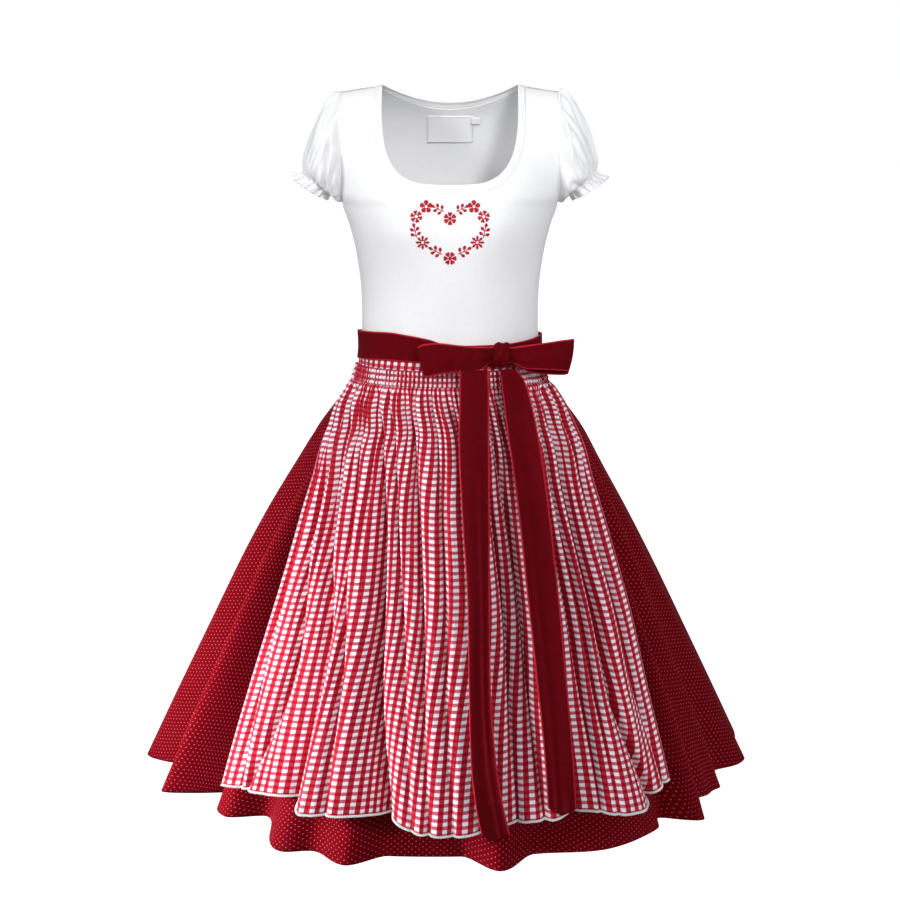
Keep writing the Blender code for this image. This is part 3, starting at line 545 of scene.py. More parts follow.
def grid_object(name, points, cloth_place, material, ring=False):
    """A cloth surface on rows of points, bottom row first. cloth_place gives each point's place on the flat
    cloth, with one more column than the points when the rows close into rings."""
    rows, columns = points.shape[:2]
    number = np.arange(rows * columns).reshape(rows, columns)
    left = number if ring else number[:, :-1]
    right = np.roll(number, -1, axis=1) if ring else number[:, 1:]
    quads = np.stack([left[:-1], right[:-1], right[1:], left[1:]], axis=-1).reshape(-1, 4)
    near, far = cloth_place[:, :-1], cloth_place[:, 1:]
    corners = np.stack([near[:-1], far[:-1], far[1:], near[1:]], axis=2).reshape(-1, 4, 2)
    flat = points.reshape(-1, 3)
    whole = ~np.isnan(flat[quads]).any(axis=(1, 2))
    quads, corners = quads[whole], corners[whole]
    used = np.unique(quads)
    renumbered = np.zeros(len(flat), int)
    renumbered[used] = np.arange(len(used))
    made = mesh_object(name, flat[used].tolist(), renumbered[quads].tolist(), material)
    layer = made.data.uv_layers.new(name="cloth")
    layer.data.foreach_set("uv", corners.reshape(-1).astype(np.float32))
    return made


def mesh_object(name, points, faces, material, smooth=True):
    mesh = bpy.data.meshes.new(name)
    mesh.from_pydata(points, [], faces)
    mesh.update()
    mesh.materials.append(material)
    if smooth:
        mesh.shade_smooth()
    made = bpy.data.objects.new(name, mesh)
    bpy.context.scene.collection.objects.link(made)
    return made


def dress_piece(made, slot, *nodes):
    """Puts a piece on the dress in place of the solids that it stands for."""
    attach(made, "root")
    if nodes:
        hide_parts(*nodes)


def cloth_piece(name, points, place, look, thickness, slot, node, ring=False, offset=-1.0, **cut):
    """A cloth wall on a grid, dressed in place of a solid. The cut that it is given is not used."""
    made = grid_object(name, points, place, look, ring)
    solid = made.modifiers.new("wall", "SOLIDIFY")
    solid.thickness, solid.offset = thickness, offset
    dress_piece(made, slot, node)


def lengths(points, axis):
    """Running length along an axis of a grid of points."""
    steps = np.linalg.norm(np.diff(points, axis=axis), axis=-1)
    pad = [(0, 0)] * steps.ndim
    pad[axis] = (1, 0)
    return np.cumsum(np.pad(steps, pad), axis=axis)


def surface_normals(points, ring=False):
    """Outward normals of a grid whose azimuth grows along a row and whose rows run upwards."""
    up = np.gradient(points, axis=0)
    if ring:
        along = (np.roll(points, -1, axis=1) - np.roll(points, 1, axis=1)) / 2
    else:
        along = np.gradient(points, axis=1)
    return unit(np.cross(along, up))


def tube(name, path, radius, material, slot, *nodes, sides=6, closed=False, squash=(0, 0, 1)):
    """A thin seam or cord sewn along a path, squashed flatter along the given way."""
    path = np.asarray(path, float)
    if closed:
        way = np.roll(path, -1, axis=0) - np.roll(path, 1, axis=0)
    else:
        way = np.gradient(path, axis=0)
    way = unit(way)
    side = unit(np.cross(way, squash))
    up = np.cross(side, way)
    turns = np.linspace(0, 2 * math.pi, sides, endpoint=False)
    across, over = np.cos(turns)[:, None], np.sin(turns)[:, None] * 0.7
    rings = path[:, None] + radius * (side[:, None] * across + up[:, None] * over)
    count = len(path)
    faces = []
    for r in range(count if closed else count - 1):
        n = (r + 1) % count
        for s in range(sides):
            e = (s + 1) % sides
            faces.append((r * sides + s, r * sides + e, n * sides + e, n * sides + s))
    if not closed:
        faces.append(tuple(range(sides))[::-1])
        faces.append(tuple((count - 1) * sides + s for s in range(sides)))
    dress_piece(mesh_object(name, rings.reshape(-1, 3).tolist(), faces, material), slot, *nodes)


def stitches(name, path, normals, size, material, slot):
    """A row of short stitches sewn along a path, each an arched grain of thread."""
    pitch, length, radius = size
    run = lengths(path[:, None], 0)[:, 0]
    starts = np.arange(pitch / 2, run[-1] - length, pitch)
    sides = 5
    share = np.linspace(0, 1, 5)
    turns = np.linspace(0, 2 * math.pi, sides, endpoint=False)
    at = starts[:, None] + share[None] * length
    centre = read_line(path, run, at)
    out = read_line(np.broadcast_to(normals, path.shape), run, at)
    side = unit(np.cross(unit(np.gradient(centre, axis=1)), out))
    arch = np.sin(math.pi * share)
    centre = centre + out * (radius * (1.1 * arch - 0.3))[None, :, None]
    thick = radius * (0.35 + 0.65 * arch)
    across, over = side[:, :, None] * np.cos(turns)[:, None], out[:, :, None] * np.sin(turns)[:, None]
    verts = centre[:, :, None] + thick[:, None, None] * (across + over)
    count = len(starts)
    number = np.arange(count * 5 * sides).reshape(count, 5, sides)
    nxt = np.roll(number, -1, axis=2)
    faces = np.stack([number[:, :-1], nxt[:, :-1], nxt[:, 1:], number[:, 1:]], axis=-1).reshape(-1, 4)
    dress_piece(mesh_object(name, verts.reshape(-1, 3).tolist(), faces.tolist(), material), slot)


# Bodice


def torso_points(side, across, level):
    """Outer points of the bodice. side is -1 for the front and 1 for the back, across runs from -1 at one
    edge to 1 at the other, and level is the height before the shoulder's slope is added."""
    across, level = np.broadcast_arrays(np.asarray(across, float), np.asarray(level, float))
    wrap = np.radians(read_off(TORSO, "wrap", level))
    angle = across * wrap
    x = read_off(TORSO, "half_width", level) * np.sin(angle) / np.sin(wrap)
    armhole = np.sqrt(np.clip(1 - (2 * level / ARMPIT_Z - 1) ** 2, 0, 1)) * (level > ARMPIT_Z)
    edge = armhole * (ARMHOLE_FRONT_DEPTH if side < 0 else ARMHOLE_BACK_DEPTH)
    centre = read_off(TORSO, "front" if side < 0 else "back", level)
    share = (np.cos(angle) - np.cos(wrap)) / (1 - np.cos(wrap))
    depth = edge + (centre - edge) * share
    if side < 0:
        reach = ((np.abs(x) - BUST_HALF_SPACING) ** 2 + (level - BUST_Z) ** 2) / BUST_RADIUS**2
        depth = depth + BUST_FULLNESS * np.exp(-reach)
    run = (np.abs(x) - NECK_HALF_WIDTH) / (SHOULDER_HALF_WIDTH - NECK_HALF_WIDTH)
    slope = SHOULDER_DROP * np.clip(run, 0, 1)
    z = np.where(level > ARMPIT_Z, level - slope * (1 - level / ARMPIT_Z), level)
    return np.stack([x, side * (depth + SIDE_GAP), z], axis=-1)


def across_of(x, level):
    """The share across a panel at which the bodice is x from its middle."""
    wrap = np.radians(read_off(TORSO, "wrap", level))
    sine = np.clip(x * np.sin(wrap) / read_off(TORSO, "half_width", level), -1, 1)
    return np.arcsin(sine) / wrap


NECK_MARKS = [0, 0.15, 1.2, 4.5, 11, 19, 29, 39, 48, 57, 66, 74, 82, 90]
FINER = 4
NECK_ANGLES = np.interp(np.arange(13 * FINER + 1) / FINER, range(14), NECK_MARKS)
STRAP_ROWS = 7 * FINER
STRAP_COLUMNS = 14
FRONT_ROWS = 46
BACK_ROWS = 56


def front_neck_curve(grow):
    """The neckline on the front, grow wider and deeper than the opening, from -X to +X."""
    angles = np.radians(np.concatenate([NECK_ANGLES, 180 - NECK_ANGLES[-2::-1]]))
    power = 2 / NECK_CURVE_POWER
    x = -(NECK_HALF_WIDTH + grow) * np.sign(np.cos(angles)) * np.abs(np.cos(angles)) ** power
    level = -(FRONT_NECK_DEPTH + grow) * np.abs(np.sin(angles)) ** power
    return x, level


def back_neck_curve(grow):
    """The neckline on the back, from +X to -X."""
    share = np.linspace(1, -1, 61)
    level = -(BACK_NECK_DEPTH + grow) * (1 - share**2)
    return (NECK_HALF_WIDTH + grow) * share, level


# Drags of the front: middle, slant, length, half width and how far each stands out
JERSEY_DRAGS = [
    (-0.137, -0.052, 0.50, 0.030, 0.006, -0.0022),
    (-0.128, -0.060, 0.45, 0.028, 0.006, 0.0016),
    (0.138, -0.070, -0.40, 0.030, 0.007, -0.0018),
    (0.126, -0.110, -0.75, 0.030, 0.008, -0.0020),
    (0.112, -0.128, -0.80, 0.028, 0.007, 0.0012),
    (-0.122, -0.150, 0.95, 0.022, 0.006, -0.0014),
    (0.040, -0.355, 0.25, 0.030, 0.008, 0.0010),
    (-0.060, -0.350, -0.30, 0.032, 0.008, 0.0010),
]


def pulled(points, side):
    """The small drags and creases of the jersey, as a depth for points of the bodice."""
    x, z = points[..., 0], points[..., 2]
    drag = np.zeros(x.shape)
    for centre_x, centre_z, lean, long, wide, depth in JERSEY_DRAGS:
        along = (z - centre_z) * math.cos(lean) + (x - centre_x) * math.sin(lean)
        across = (x - centre_x) * math.cos(lean) - (z - centre_z) * math.sin(lean)
        drag = drag + depth * np.exp(-((along / long) ** 2) - (across / wide) ** 2)
    ripple = 0.0007 * hills(3, x + 0.6 * z, 0.021) * hills(4, z, 0.05) * ease(-z, 0.18, 0.30)
    edge = ease(0.150 - np.abs(x), 0.0, 0.02)
    moved = points.copy()
    moved[..., 1] += side * (drag * (side < 0) + ripple) * edge
    return moved


def front_panel():
    """Rows of outer points from the waist up. Above the round of the neckline only the two straps go on,
    and the points between them are left empty."""
    neck_x, neck_level = front_neck_curve(BINDING_WIDTH)
    neck_across = across_of(neck_x, neck_level)
    corner = STRAP_ROWS
    strap = np.linspace(-1, neck_across[corner], STRAP_COLUMNS + 1)[:-1]
    top_across = np.concatenate([strap, neck_across[corner : len(neck_x) - corner], -strap[::-1]])
    side_level = np.full(STRAP_COLUMNS, neck_level[corner])
    top_level = np.concatenate([side_level, neck_level[corner : len(neck_x) - corner], side_level])
    rows = []
    for up in np.linspace(0, 1, FRONT_ROWS + 1):
        rows.append(torso_points(-1, top_across, WAIST_Z + (top_level - WAIST_Z) * up))
    for row in range(corner - 1, -1, -1):
        level = neck_level[row]
        strap = np.linspace(-1, neck_across[row], STRAP_COLUMNS + 1)
        empty = np.full((len(top_across) - 2 * len(strap), 3), np.nan)
        left, right = torso_points(-1, strap, level), torso_points(-1, -strap[::-1], level)
        rows.append(np.concatenate([left, empty, right]))
    return np.array(rows)


def back_panel():
    """Rows of outer points from the waist up to the neckline and the shoulders."""
    neck_x, neck_level = back_neck_curve(BINDING_WIDTH)
    neck_across = across_of(neck_x, neck_level)
    shoulder = np.linspace(1, neck_across[0], STRAP_COLUMNS + 1)[:-1]
    across = np.concatenate([shoulder, neck_across, -shoulder[::-1]])
    flat = np.zeros(STRAP_COLUMNS)
    top_level = np.concatenate([flat, neck_level, flat])
    steps = 1 - (1 - np.linspace(0, 1, BACK_ROWS + 1)) ** 2
    return np.array([torso_points(1, across, WAIST_Z + (top_level - WAIST_Z) * up) for up in steps])


def neck_ring(grow):
    """Points round the neck, along the front from -X to +X and back along the back."""
    front_x, front_level = front_neck_curve(grow)
    back_x, back_level = back_neck_curve(grow)
    front = torso_points(-1, across_of(front_x, front_level), front_level)
    back = torso_points(1, across_of(back_x, back_level), back_level)
    ring = np.concatenate([front, back[1:-1]])
    ring[0, 1] = ring[len(front) - 1, 1] = 0.0
    return ring


def body_place(points):
    """Where each point of a bodice panel lies on its flat cloth."""
    round_it = np.arctan2(points[..., 0], np.abs(points[..., 1]) + 0.02) * 0.125
    return np.nan_to_num(pairs(round_it, points[..., 2]))


def build_bodice(jersey, thread):
    front = pulled(front_panel(), -1)
    cloth_piece("jersey_front", front, body_place(front), jersey, JERSEY, "white_jersey", "bodice_front",
                flat=(0.40, 0.37), held="stretched", area=0.115)
    back = pulled(back_panel(), 1)
    cloth_piece("jersey_back", back, body_place(back), jersey, JERSEY, "white_jersey", "bodice_back",
                flat=(0.40, 0.37), held="stretched", area=0.134)

    # The binding is a flat fold of jersey with a fine raised seam outside it, that laps over the panels
    grows = np.linspace(BINDING_WIDTH + 0.0014, 0.0, 25)
    rings = np.array([neck_ring(grow) for grow in grows])
    normals = surface_normals(rings, ring=True)
    fold = 0.0010 * np.sqrt(np.clip(1 - ((grows - 0.0032) / 0.0036) ** 2, 0, 1))
    seam = 0.0006 * bell(grows - 0.0084, 0.0009)
    rings = rings + normals * (0.0004 + fold + seam)[:, None, None]
    run = lengths(looped(rings), 1)
    place = pairs(grows[:, None], run)
    cloth_piece("neck_roll", rings, place, jersey, 0.0007, "white_jersey", "neck_binding", ring=True,
                flat=(0.018, 0.62), held="folded", rests_on=["jersey_front", "jersey_back"])

    for name, grow, lift in (("neck_stitches", 0.0068, 0.0005), ("neck_edge_stitches", 0.0112, 0.0004)):
        ring, near = neck_ring(grow), neck_ring(grow + 0.001)
        out = surface_normals(np.array([near, ring]), ring=True)[1]
        closed = np.concatenate([ring, ring[:1]]) + lift * np.concatenate([out, out[:1]])
        out = np.concatenate([out, out[:1]])
        stitches(name, closed, out, NECK_STITCH, thread, "white_jersey")

    # Shoulder seams
    for side, word in ((-1, "right"), (1, "left")):
        x = np.linspace(NECK_HALF_WIDTH + BINDING_WIDTH, SHOULDER_HALF_WIDTH - 0.001, 30) * side
        slope = SHOULDER_DROP * (np.abs(x) - NECK_HALF_WIDTH) / (SHOULDER_HALF_WIDTH - NECK_HALF_WIDTH)
        path = np.stack([x, 0 * x, -slope + 0.0003], axis=-1)
        tube(f"shoulder_seam_{word}", path, SEAM_RADIUS, jersey, "white_jersey")


def sleeve_surface(ring, turn):
    """Points of a puff sleeve at a ring number of its table, 0 at the armhole, and a turn round it."""
    numbers = range(len(SLEEVE))
    outer_x, outer_z, inner_x, inner_z, front, back, gather = (
        smooth_between(numbers, [getattr(row, column) for row in SLEEVE], ring)
        for column in SLEEVE[0]._fields
    )
    centre = np.stack([(outer_x + inner_x) / 2, 0 * outer_x, (outer_z + inner_z) / 2], axis=-1)
    half = np.stack([(outer_x - inner_x) / 2, 0 * outer_x, (outer_z - inner_z) / 2], axis=-1)
    spread = half * np.cos(turn)[..., None]
    spread[..., 1] = np.where(np.sin(turn) < 0, front, back) * np.sin(turn)
    return centre + spread, unit(spread), gather


def sleeve_rise(side, ring, turn, gather):
    """How far the gathers and folds of a sleeve stand out of its plain puff."""
    turn = (turn + math.pi) % (2 * math.pi) - math.pi
    uneven = turn + 0.10 * np.sin(2 * turn + side) + 0.05 * np.sin(5 * turn)
    wave = np.cos(SLEEVE_GATHERS * uneven)
    lobes = np.abs(np.cos(0.5 * SLEEVE_GATHERS * uneven)) ** 0.7 - 0.55
    rise = gather * (np.where(ring > 5.9, 1.7, 1.2) * lobes + 0.15 * wave)
    puckers = np.cos(1.9 * SLEEVE_GATHERS * uneven + 1.3)
    rise = rise + 0.0013 * puckers * bell(ring - 5.5, 0.6)
    rise = rise + 0.0007 * puckers * ease(ring, 6.2, 7.4)
    cap = bell(turn, 1.0) * ease(ring, 0.0, 0.5) * (1 - ease(ring, 1.4, 3.6))
    rise = rise + 0.0026 * cap * (np.abs(np.cos(8.5 * turn + side)) ** 0.8 - 0.5)
    for fold in SLEEVE_FOLDS:
        if fold.side != side:
            continue
        a = np.array([fold.ring_a * RING_STEP, fold.turn_a * SLEEVE_RADIUS])
        b = np.array([fold.ring_b * RING_STEP, fold.turn_b * SLEEVE_RADIUS])
        x, y = ring * RING_STEP - a[0], turn * SLEEVE_RADIUS - a[1]
        way = b - a
        t = np.clip((x * way[0] + y * way[1]) / (way @ way), 0, 1)
        apart = np.hypot(x - t * way[0], y - t * way[1])
        taper = 0.35 + 0.65 * np.sin(math.pi * np.clip(t, 0.02, 0.98)) ** 0.7
        held = ease(ring, 0.0, 0.5) * (1 - ease(ring, 5.5, 6.0))
        rise = rise + fold.out * taper * held * np.exp(-((apart / fold.width) ** 1.6))
    return rise


def build_sleeves(jersey, thread):
    rows, columns = 74, 176
    ring = np.linspace(len(SLEEVE) - 1, 0, rows)[:, None] * np.ones((1, columns))
    for side, name in ((1, "left"), (-1, "right")):
        turn = np.linspace(0, 2 * math.pi, columns, endpoint=False)[None] * np.ones((rows, 1))
        points, away, gather = sleeve_surface(ring, turn)
        points = points + away * sleeve_rise(side, ring, turn, gather)[..., None]
        points = points * [side, 1, 1]
        if side < 0:
            points = points[:, ::-1]
        place = pairs(np.linspace(0, 0.42, columns + 1), lengths(points, 0).mean(axis=1)[:, None])
        cloth_piece(f"puff_{name}", points, place, jersey, JERSEY, "white_jersey", f"sleeve_{name}",
                    ring=True, flat=(0.36, 0.15), held="gathered", area=0.042)

        # The armhole seam, the elastic's stitches and the ruffle's hem
        turns = np.linspace(0, 2 * math.pi, 120, endpoint=False)
        path, away, _ = sleeve_surface(np.full(120, 0.12), turns)
        path, away = (path + away * 0.0002) * [side, 1, 1], away * [side, 1, 1]
        tube(f"armhole_seam_{name}", path, ARMHOLE_SEAM_RADIUS, jersey, "white_jersey",
             sides=8, closed=True, squash=away)
        for ring_number, word in ((6.0, "elastic"), (5.8, "casing"), (7.85, "ruffle")):
            turns, rings = np.linspace(0, 2 * math.pi, 400), np.full(400, ring_number)
            path, away, gather = sleeve_surface(rings, turns)
            path = path + away * (sleeve_rise(side, rings, turns, gather) + 0.0001)[:, None]
            path, away = path * [side, 1, 1], away * [side, 1, 1]
            stitches(f"{word}_stitches_{name}", path, away, SLEEVE_STITCH, thread, "white_jersey")


# The flower heart on the chest


def on_chest(x, z, lift):
    """Points on the front at x and z, lifted off it."""
    points = pulled(torso_points(-1, across_of(x, z), z), -1)
    points[..., 1] -= lift
    return points


def petal(length, width, tip=1.0, notch=0.0):
    """Outline of a petal or leaf that grows from the origin along +z, wider near its end for a larger tip."""
    t = np.linspace(0, 1, 13)
    half = width / 2 * np.sin(math.pi * t**tip) ** 0.75
    up = length * (1 - np.cos(math.pi * t)) / 2
    half = np.interp(up / length, t, half)
    right = np.stack([half, up], axis=-1)
    left = np.stack([-half, up], axis=-1)[-2:0:-1]
    outline = np.concatenate([right, left])
    dent = notch * bell(outline[:, 0], width * 0.16) * (outline[:, 1] > length * 0.6)
    outline[:, 1] -= dent
    return outline


def turned(outline, angle, x, z, start=0.0):
    """An outline moved start along +z, turned clockwise by an angle in degrees, and set at x and z."""
    a = math.radians(angle)
    up = outline[:, 1] + start
    return np.stack([outline[:, 0] * math.cos(a) + up * math.sin(a) + x,
                     -outline[:, 0] * math.sin(a) + up * math.cos(a) + z], axis=-1)


COLLAR_PIECES = 16
COLLAR_STEP = 360 / COLLAR_PIECES


def flower(bloom, petals, length, width, tip, notch, start):
    """Equal petals round a collar with an open middle, in shares of the flower's size."""
    size = bloom.size
    shape = petal(size * length, size * width, tip, size * notch)
    piece = np.array([(-0.055, 0.0), (0.055, 0.0), (0.09, 0.18), (-0.09, 0.18)]) * size
    place = bloom.x, bloom.z, size * start
    shapes = [turned(shape, bloom.turn + 360 / petals * k, *place) for k in range(petals)]
    return shapes + [turned(piece, COLLAR_STEP * k, *place) for k in range(COLLAR_PIECES)]


def daisy(bloom):
    return flower(bloom, 8, 0.84, 0.38, 1.3, 0.0, 0.20)


def rosette(bloom):
    return flower(bloom, 5, 0.80, 0.78, 1.25, 0.0, 0.22)


def mallow(bloom):
    return flower(bloom, 6, 0.78, 0.66, 1.7, 0.14, 0.24)


def starflower(bloom):
    disc = turned(petal(bloom.size * 0.40, bloom.size * 0.40), 0, bloom.x, bloom.z, -bloom.size * 0.18)
    return flower(bloom, 6, 0.98, 0.66, 1.9, 0.15, 0.05) + [disc]


def sprig(bloom):
    """A stem with two pairs of round leaves on short stalks and one leaf at its tip."""
    size = bloom.size
    stem = np.array([(-0.085, -1.05), (0.085, -1.05), (0.060, 0.50), (-0.060, 0.50)]) * size
    shapes = [turned(stem, bloom.turn, bloom.x, bloom.z)]
    leaf = petal(size * 0.78, size * 0.50, 1.15)
    stalk = np.array([(-0.055, 0.0), (0.055, 0.0), (0.055, 0.22), (-0.055, 0.22)]) * size
    for height, lean in ((-0.78, 62), (-0.12, 50)):
        foot = turned(np.array([[0.0, height * size]]), bloom.turn, bloom.x, bloom.z)[0]
        for way in (-1, 1):
            shapes.append(turned(leaf, bloom.turn + way * lean, foot[0], foot[1], size * 0.16))
            shapes.append(turned(stalk, bloom.turn + way * lean, foot[0], foot[1]))
    foot = turned(np.array([[0.0, size * 0.44]]), bloom.turn, bloom.x, bloom.z)[0]
    shapes.append(turned(leaf, bloom.turn, foot[0], foot[1]))
    return shapes


# The flower heart: what grows at each place round its right half, where, how big and how far turned
HEART_CENTRE_Z = -0.199
HEART = table("kind x z size turn",
    ("starflower", 0, 0.0155, 0.0098, 0), ("sprig", 0.017, 0.0293, 0.0088, 64),
    ("rosette", 0.0333, 0.0322, 0.0092, 0), ("mallow", 0.047, 0.0185, 0.0092, 12),
    ("sprig", 0.0488, -0.0012, 0.0092, 12), ("daisy", 0.0382, -0.0176, 0.0098, 0),
    ("sprig", 0.0202, -0.0298, 0.0094, 62), ("starflower", 0, -0.0402, 0.01, 30))


def build_heart(red):
    """Stitched flowers and sprigs in the outline of a heart, each shape a slightly crowned patch."""
    growers = {grow.__name__: grow for grow in (daisy, rosette, mallow, starflower, sprig)}
    verts, faces = [], []
    for bloom in HEART:
        for side in (1, -1) if bloom.x else (1,):
            placed = bloom._replace(z=bloom.z + HEART_CENTRE_Z)
            for outline in growers[bloom.kind](placed):
                flat = outline * [side, 1]
                middle = flat.mean(axis=0)
                inner = middle + (flat - middle) * 0.55
                rim = on_chest(flat[:, 0], flat[:, 1], 0.00022)
                crown = on_chest(inner[:, 0], inner[:, 1], 0.00055)
                top = on_chest(middle[None, 0], middle[None, 1], 0.00060)
                first, count = len(verts), len(flat)
                verts.extend(rim.tolist() + crown.tolist() + top.tolist())
                for k in range(count):
                    n = (k + 1) % count
                    ring = (first + k, first + n, first + count + n, first + count + k)
                    fan = (first + count + k, first + count + n, first + 2 * count)
                    faces += [ring[::side], fan[::side]]
    dress_piece(mesh_object("flower_heart", verts, faces, red), "red_velvet")


# Label


def inside_back(x, level, lift):
    points = pulled(torso_points(1, across_of(x, level), level), 1)
    points[..., 1] -= JERSEY + lift
    return points


def label_grid(left, right, bottom, top, columns, rows, lift):
    x, level = np.meshgrid(np.linspace(right, left, columns), np.linspace(bottom, top, rows))
    return inside_back(x, level, lift), pairs(x, level)


def build_label(tape, thread):
    half, low = LABEL_WIDTH / 2, LABEL_CENTRE_Z - LABEL_HEIGHT / 2
    points, place = label_grid(-half, half, low, low + LABEL_HEIGHT, 36, 22, 0.0014)
    up = (place[..., 1] - low) / LABEL_HEIGHT
    points[..., 1] -= 0.0006 * np.cos(place[..., 0] / half * math.pi / 2) * np.sin(up * math.pi)
    cloth_piece("bare_label", points, place, tape, 0.0005, "label", "neck_label", offset=1.0,
                flat=(LABEL_WIDTH, LABEL_HEIGHT), held="stretched", rests_on=["jersey_back"])
    tab_low, tab = low + LABEL_HEIGHT * 0.68, SIZE_TAB_WIDTH
    points, place = label_grid(half - SIZE_TAB_LAP, half + tab, tab_low, tab_low + tab, 8, 8, 0.0028)
    cloth_piece("bare_tab", points, place, tape, 0.0004, "label", "size_tab", offset=1.0,
                flat=(tab + SIZE_TAB_LAP, tab), held="stretched", rests_on=["jersey_back"])

    inset = 0.0016
    corners = [(-half + inset, low + inset), (half - inset, low + inset),
               (half - inset, low + LABEL_HEIGHT - inset), (-half + inset, low + LABEL_HEIGHT - inset)]
    for number, (a, b) in enumerate(zip(corners, corners[1:] + corners[:1])):
        share = np.linspace(0, 1, 40)
        x, level = a[0] + (b[0] - a[0]) * share, a[1] + (b[1] - a[1]) * share
        path = inside_back(x, level, 0.0022)
        stitches(f"label_stitches_{number}", path, INWARD, LABEL_STITCH, thread, "label")

    x = np.linspace(-NECK_HALF_WIDTH - 0.004, NECK_HALF_WIDTH + 0.004, 120)
    level = -(BACK_NECK_DEPTH + 0.019) * (1 - (x / (NECK_HALF_WIDTH + 0.019)) ** 2)
    path = inside_back(x, level, 0.0002)
    stitches("back_neck_stitches", path, INWARD, BACK_NECK_STITCH, thread, "white_jersey")


# Skirt and apron


def cone_points(azimuth, z, out):
    """Points of the skirt's cone at an azimuth in degrees and a height, moved straight out of its side."""
    azimuth, z, out = np.broadcast_arrays(
        np.asarray(azimuth, float), np.asarray(z, float), np.asarray(out, float)
    )
    angle = np.radians(azimuth)
    wide = read_off(SKIRT, "half_width", z)
    front, back = read_off(SKIRT, "front", z), read_off(SKIRT, "back", z)
    deep = np.where(np.cos(angle) > 0, front, back)
    normal = unit(np.stack([np.sin(angle) * deep, -np.cos(angle) * wide], axis=-1))
    x = wide * np.sin(angle) + normal[..., 0] * out
    y = -deep * np.cos(angle) + normal[..., 1] * out
    return np.stack([x, y, z], axis=-1)


def skirt_down(z):
    """The share of the skirt's height above a level."""
    return np.clip((STRIP_BOTTOM_Z - z) / (STRIP_BOTTOM_Z - SKIRT_HEM_Z), 0, 1)


def skirt_out(azimuth, z):
    """How far the skirt's folds stand out of its cone, as on the solid."""
    down = skirt_down(z)
    under_apron = np.exp(-((azimuth / 50.0) ** 6))
    folds = read_off(SKIRT_FOLDS, "out", azimuth) * down ** (1.15 + 0.9 * under_apron)
    behind = ease(np.abs(azimuth), 91, 102)
    crest = np.cos(np.radians(azimuth) * 2 * BACK_GATHERS)
    fine = behind * BACK_GATHER_DEPTH * crest * ease(z, -0.62, -0.47) * ease(-z, 0.402, 0.440)
    return folds + fine - 0.004 * under_apron * np.sin(math.pi * down)


def skirt_cloth_out(azimuth, z):
    """The skirt's folds with their sharper creases and the fine gathers at the back."""
    down = skirt_down(z)
    out = skirt_out(azimuth, z)
    for crease in SKIRT_CREASES:
        middle = crease.top_azimuth + (crease.hem_azimuth - crease.top_azimuth) * down
        apart = (azimuth - middle + 180) % 360 - 180
        width = crease.width * (1.9 - 0.9 * down)
        shown = ease(down, crease.start, min(crease.start + 0.5, 1.0))
        out = out + crease.out * shown * np.exp(-((np.abs(apart) / width) ** 1.9))
    behind = ease(np.abs(azimuth), 90, 98)
    gathers = np.cos(np.radians(azimuth) * 84 + 1.2 * hills(11, azimuth, 9))
    out = out + behind * 0.0022 * gathers * ease(z, -0.50, -0.43) * ease(-z, 0.385, 0.402)
    side = ease(np.abs(azimuth), 52, 60)
    tucked = np.exp(-((azimuth / 74) ** 6)) * ease(down, 0.03, 0.12) * (1 - ease(down, 0.55, 0.9))
    out = out - 0.007 * tucked
    lesser = hills(12, azimuth, 3.4) * (0.4 + 0.6 * hills(13, azimuth, 8) ** 2)
    return out + 0.0038 * side * lesser * ease(down, 0.05, 0.3) * (1 - 0.5 * down)


def skirt_panel(name, first, last, cotton):
    azimuth = np.linspace(first, last, 300)
    wrapped = (azimuth + 180) % 360 - 180
    levels = SKIRT_HEM_Z + (WAIST_SEAM_Z - SEAM_GAP - SKIRT_HEM_Z) * np.linspace(0, 1, 96)
    rows = np.array([cone_points(azimuth, z, skirt_cloth_out(wrapped, z)) for z in levels])
    rows += np.array([0.0, SIDE_GAP, 0.0]) * (-1 if last <= 90 else 1)
    slant = (levels[-1] - levels) / math.cos(SKIRT_SLANT) + 0.29
    run = lengths(rows[32:33], 1)[0]
    turn = (run - run[-1] / 2) / slant[32]
    place = pairs(np.outer(slant, np.sin(turn)), np.outer(slant, np.cos(turn)))
    cloth_piece(name, rows, place, cotton, WOVEN, "dotted_cotton", name.replace("cotton", "skirt"),
                flat=(1.60, 0.70), held="hung", area=0.72)


def build_side_seams(jersey, red):
    """The seams at both sides of the bodice and of the skirt, each a fine ridge over the gap."""
    for side, word in ((1, "left"), (-1, "right")):
        levels = np.linspace(WAIST_Z + 0.002, ARMPIT_Z - 0.001, 60)
        path = torso_points(-1, side, levels) * [1, 0, 1]
        tube(f"bodice_seam_{word}", path, SEAM_RADIUS, jersey, "white_jersey", squash=(side, 0, 0))
        levels = np.linspace(SKIRT_HEM_Z + 0.0005, -0.381, 160)
        cloth = skirt_cloth_out(np.full(160, 90.0 * side), levels)
        path = cone_points(90 * side, levels, cloth - 0.0003)
        tube(f"skirt_seam_{word}", path, SEAM_RADIUS, red, "dotted_cotton", squash=(side, 0, 0))


def gather_folds(count):
    """The folds that run down from the gathers: where, how they lean, how deep and how far down."""
    rng = np.random.default_rng(29)
    place = (np.arange(count) + 0.5 + rng.uniform(-0.26, 0.26, count)) / count
    lean = rng.uniform(-0.020, 0.020, count)
    deep = rng.uniform(0.0080, 0.0125, count)
    reach = rng.choice([0.14, 0.22, 0.34, 0.55], count) * rng.uniform(0.8, 1.2, count)
    width = rng.uniform(0.0048, 0.0068, count)
    return list(zip(place, lean, deep, reach, width))


GATHER_FOLDS = gather_folds(38)
GATHER_DEPTH = 0.0052


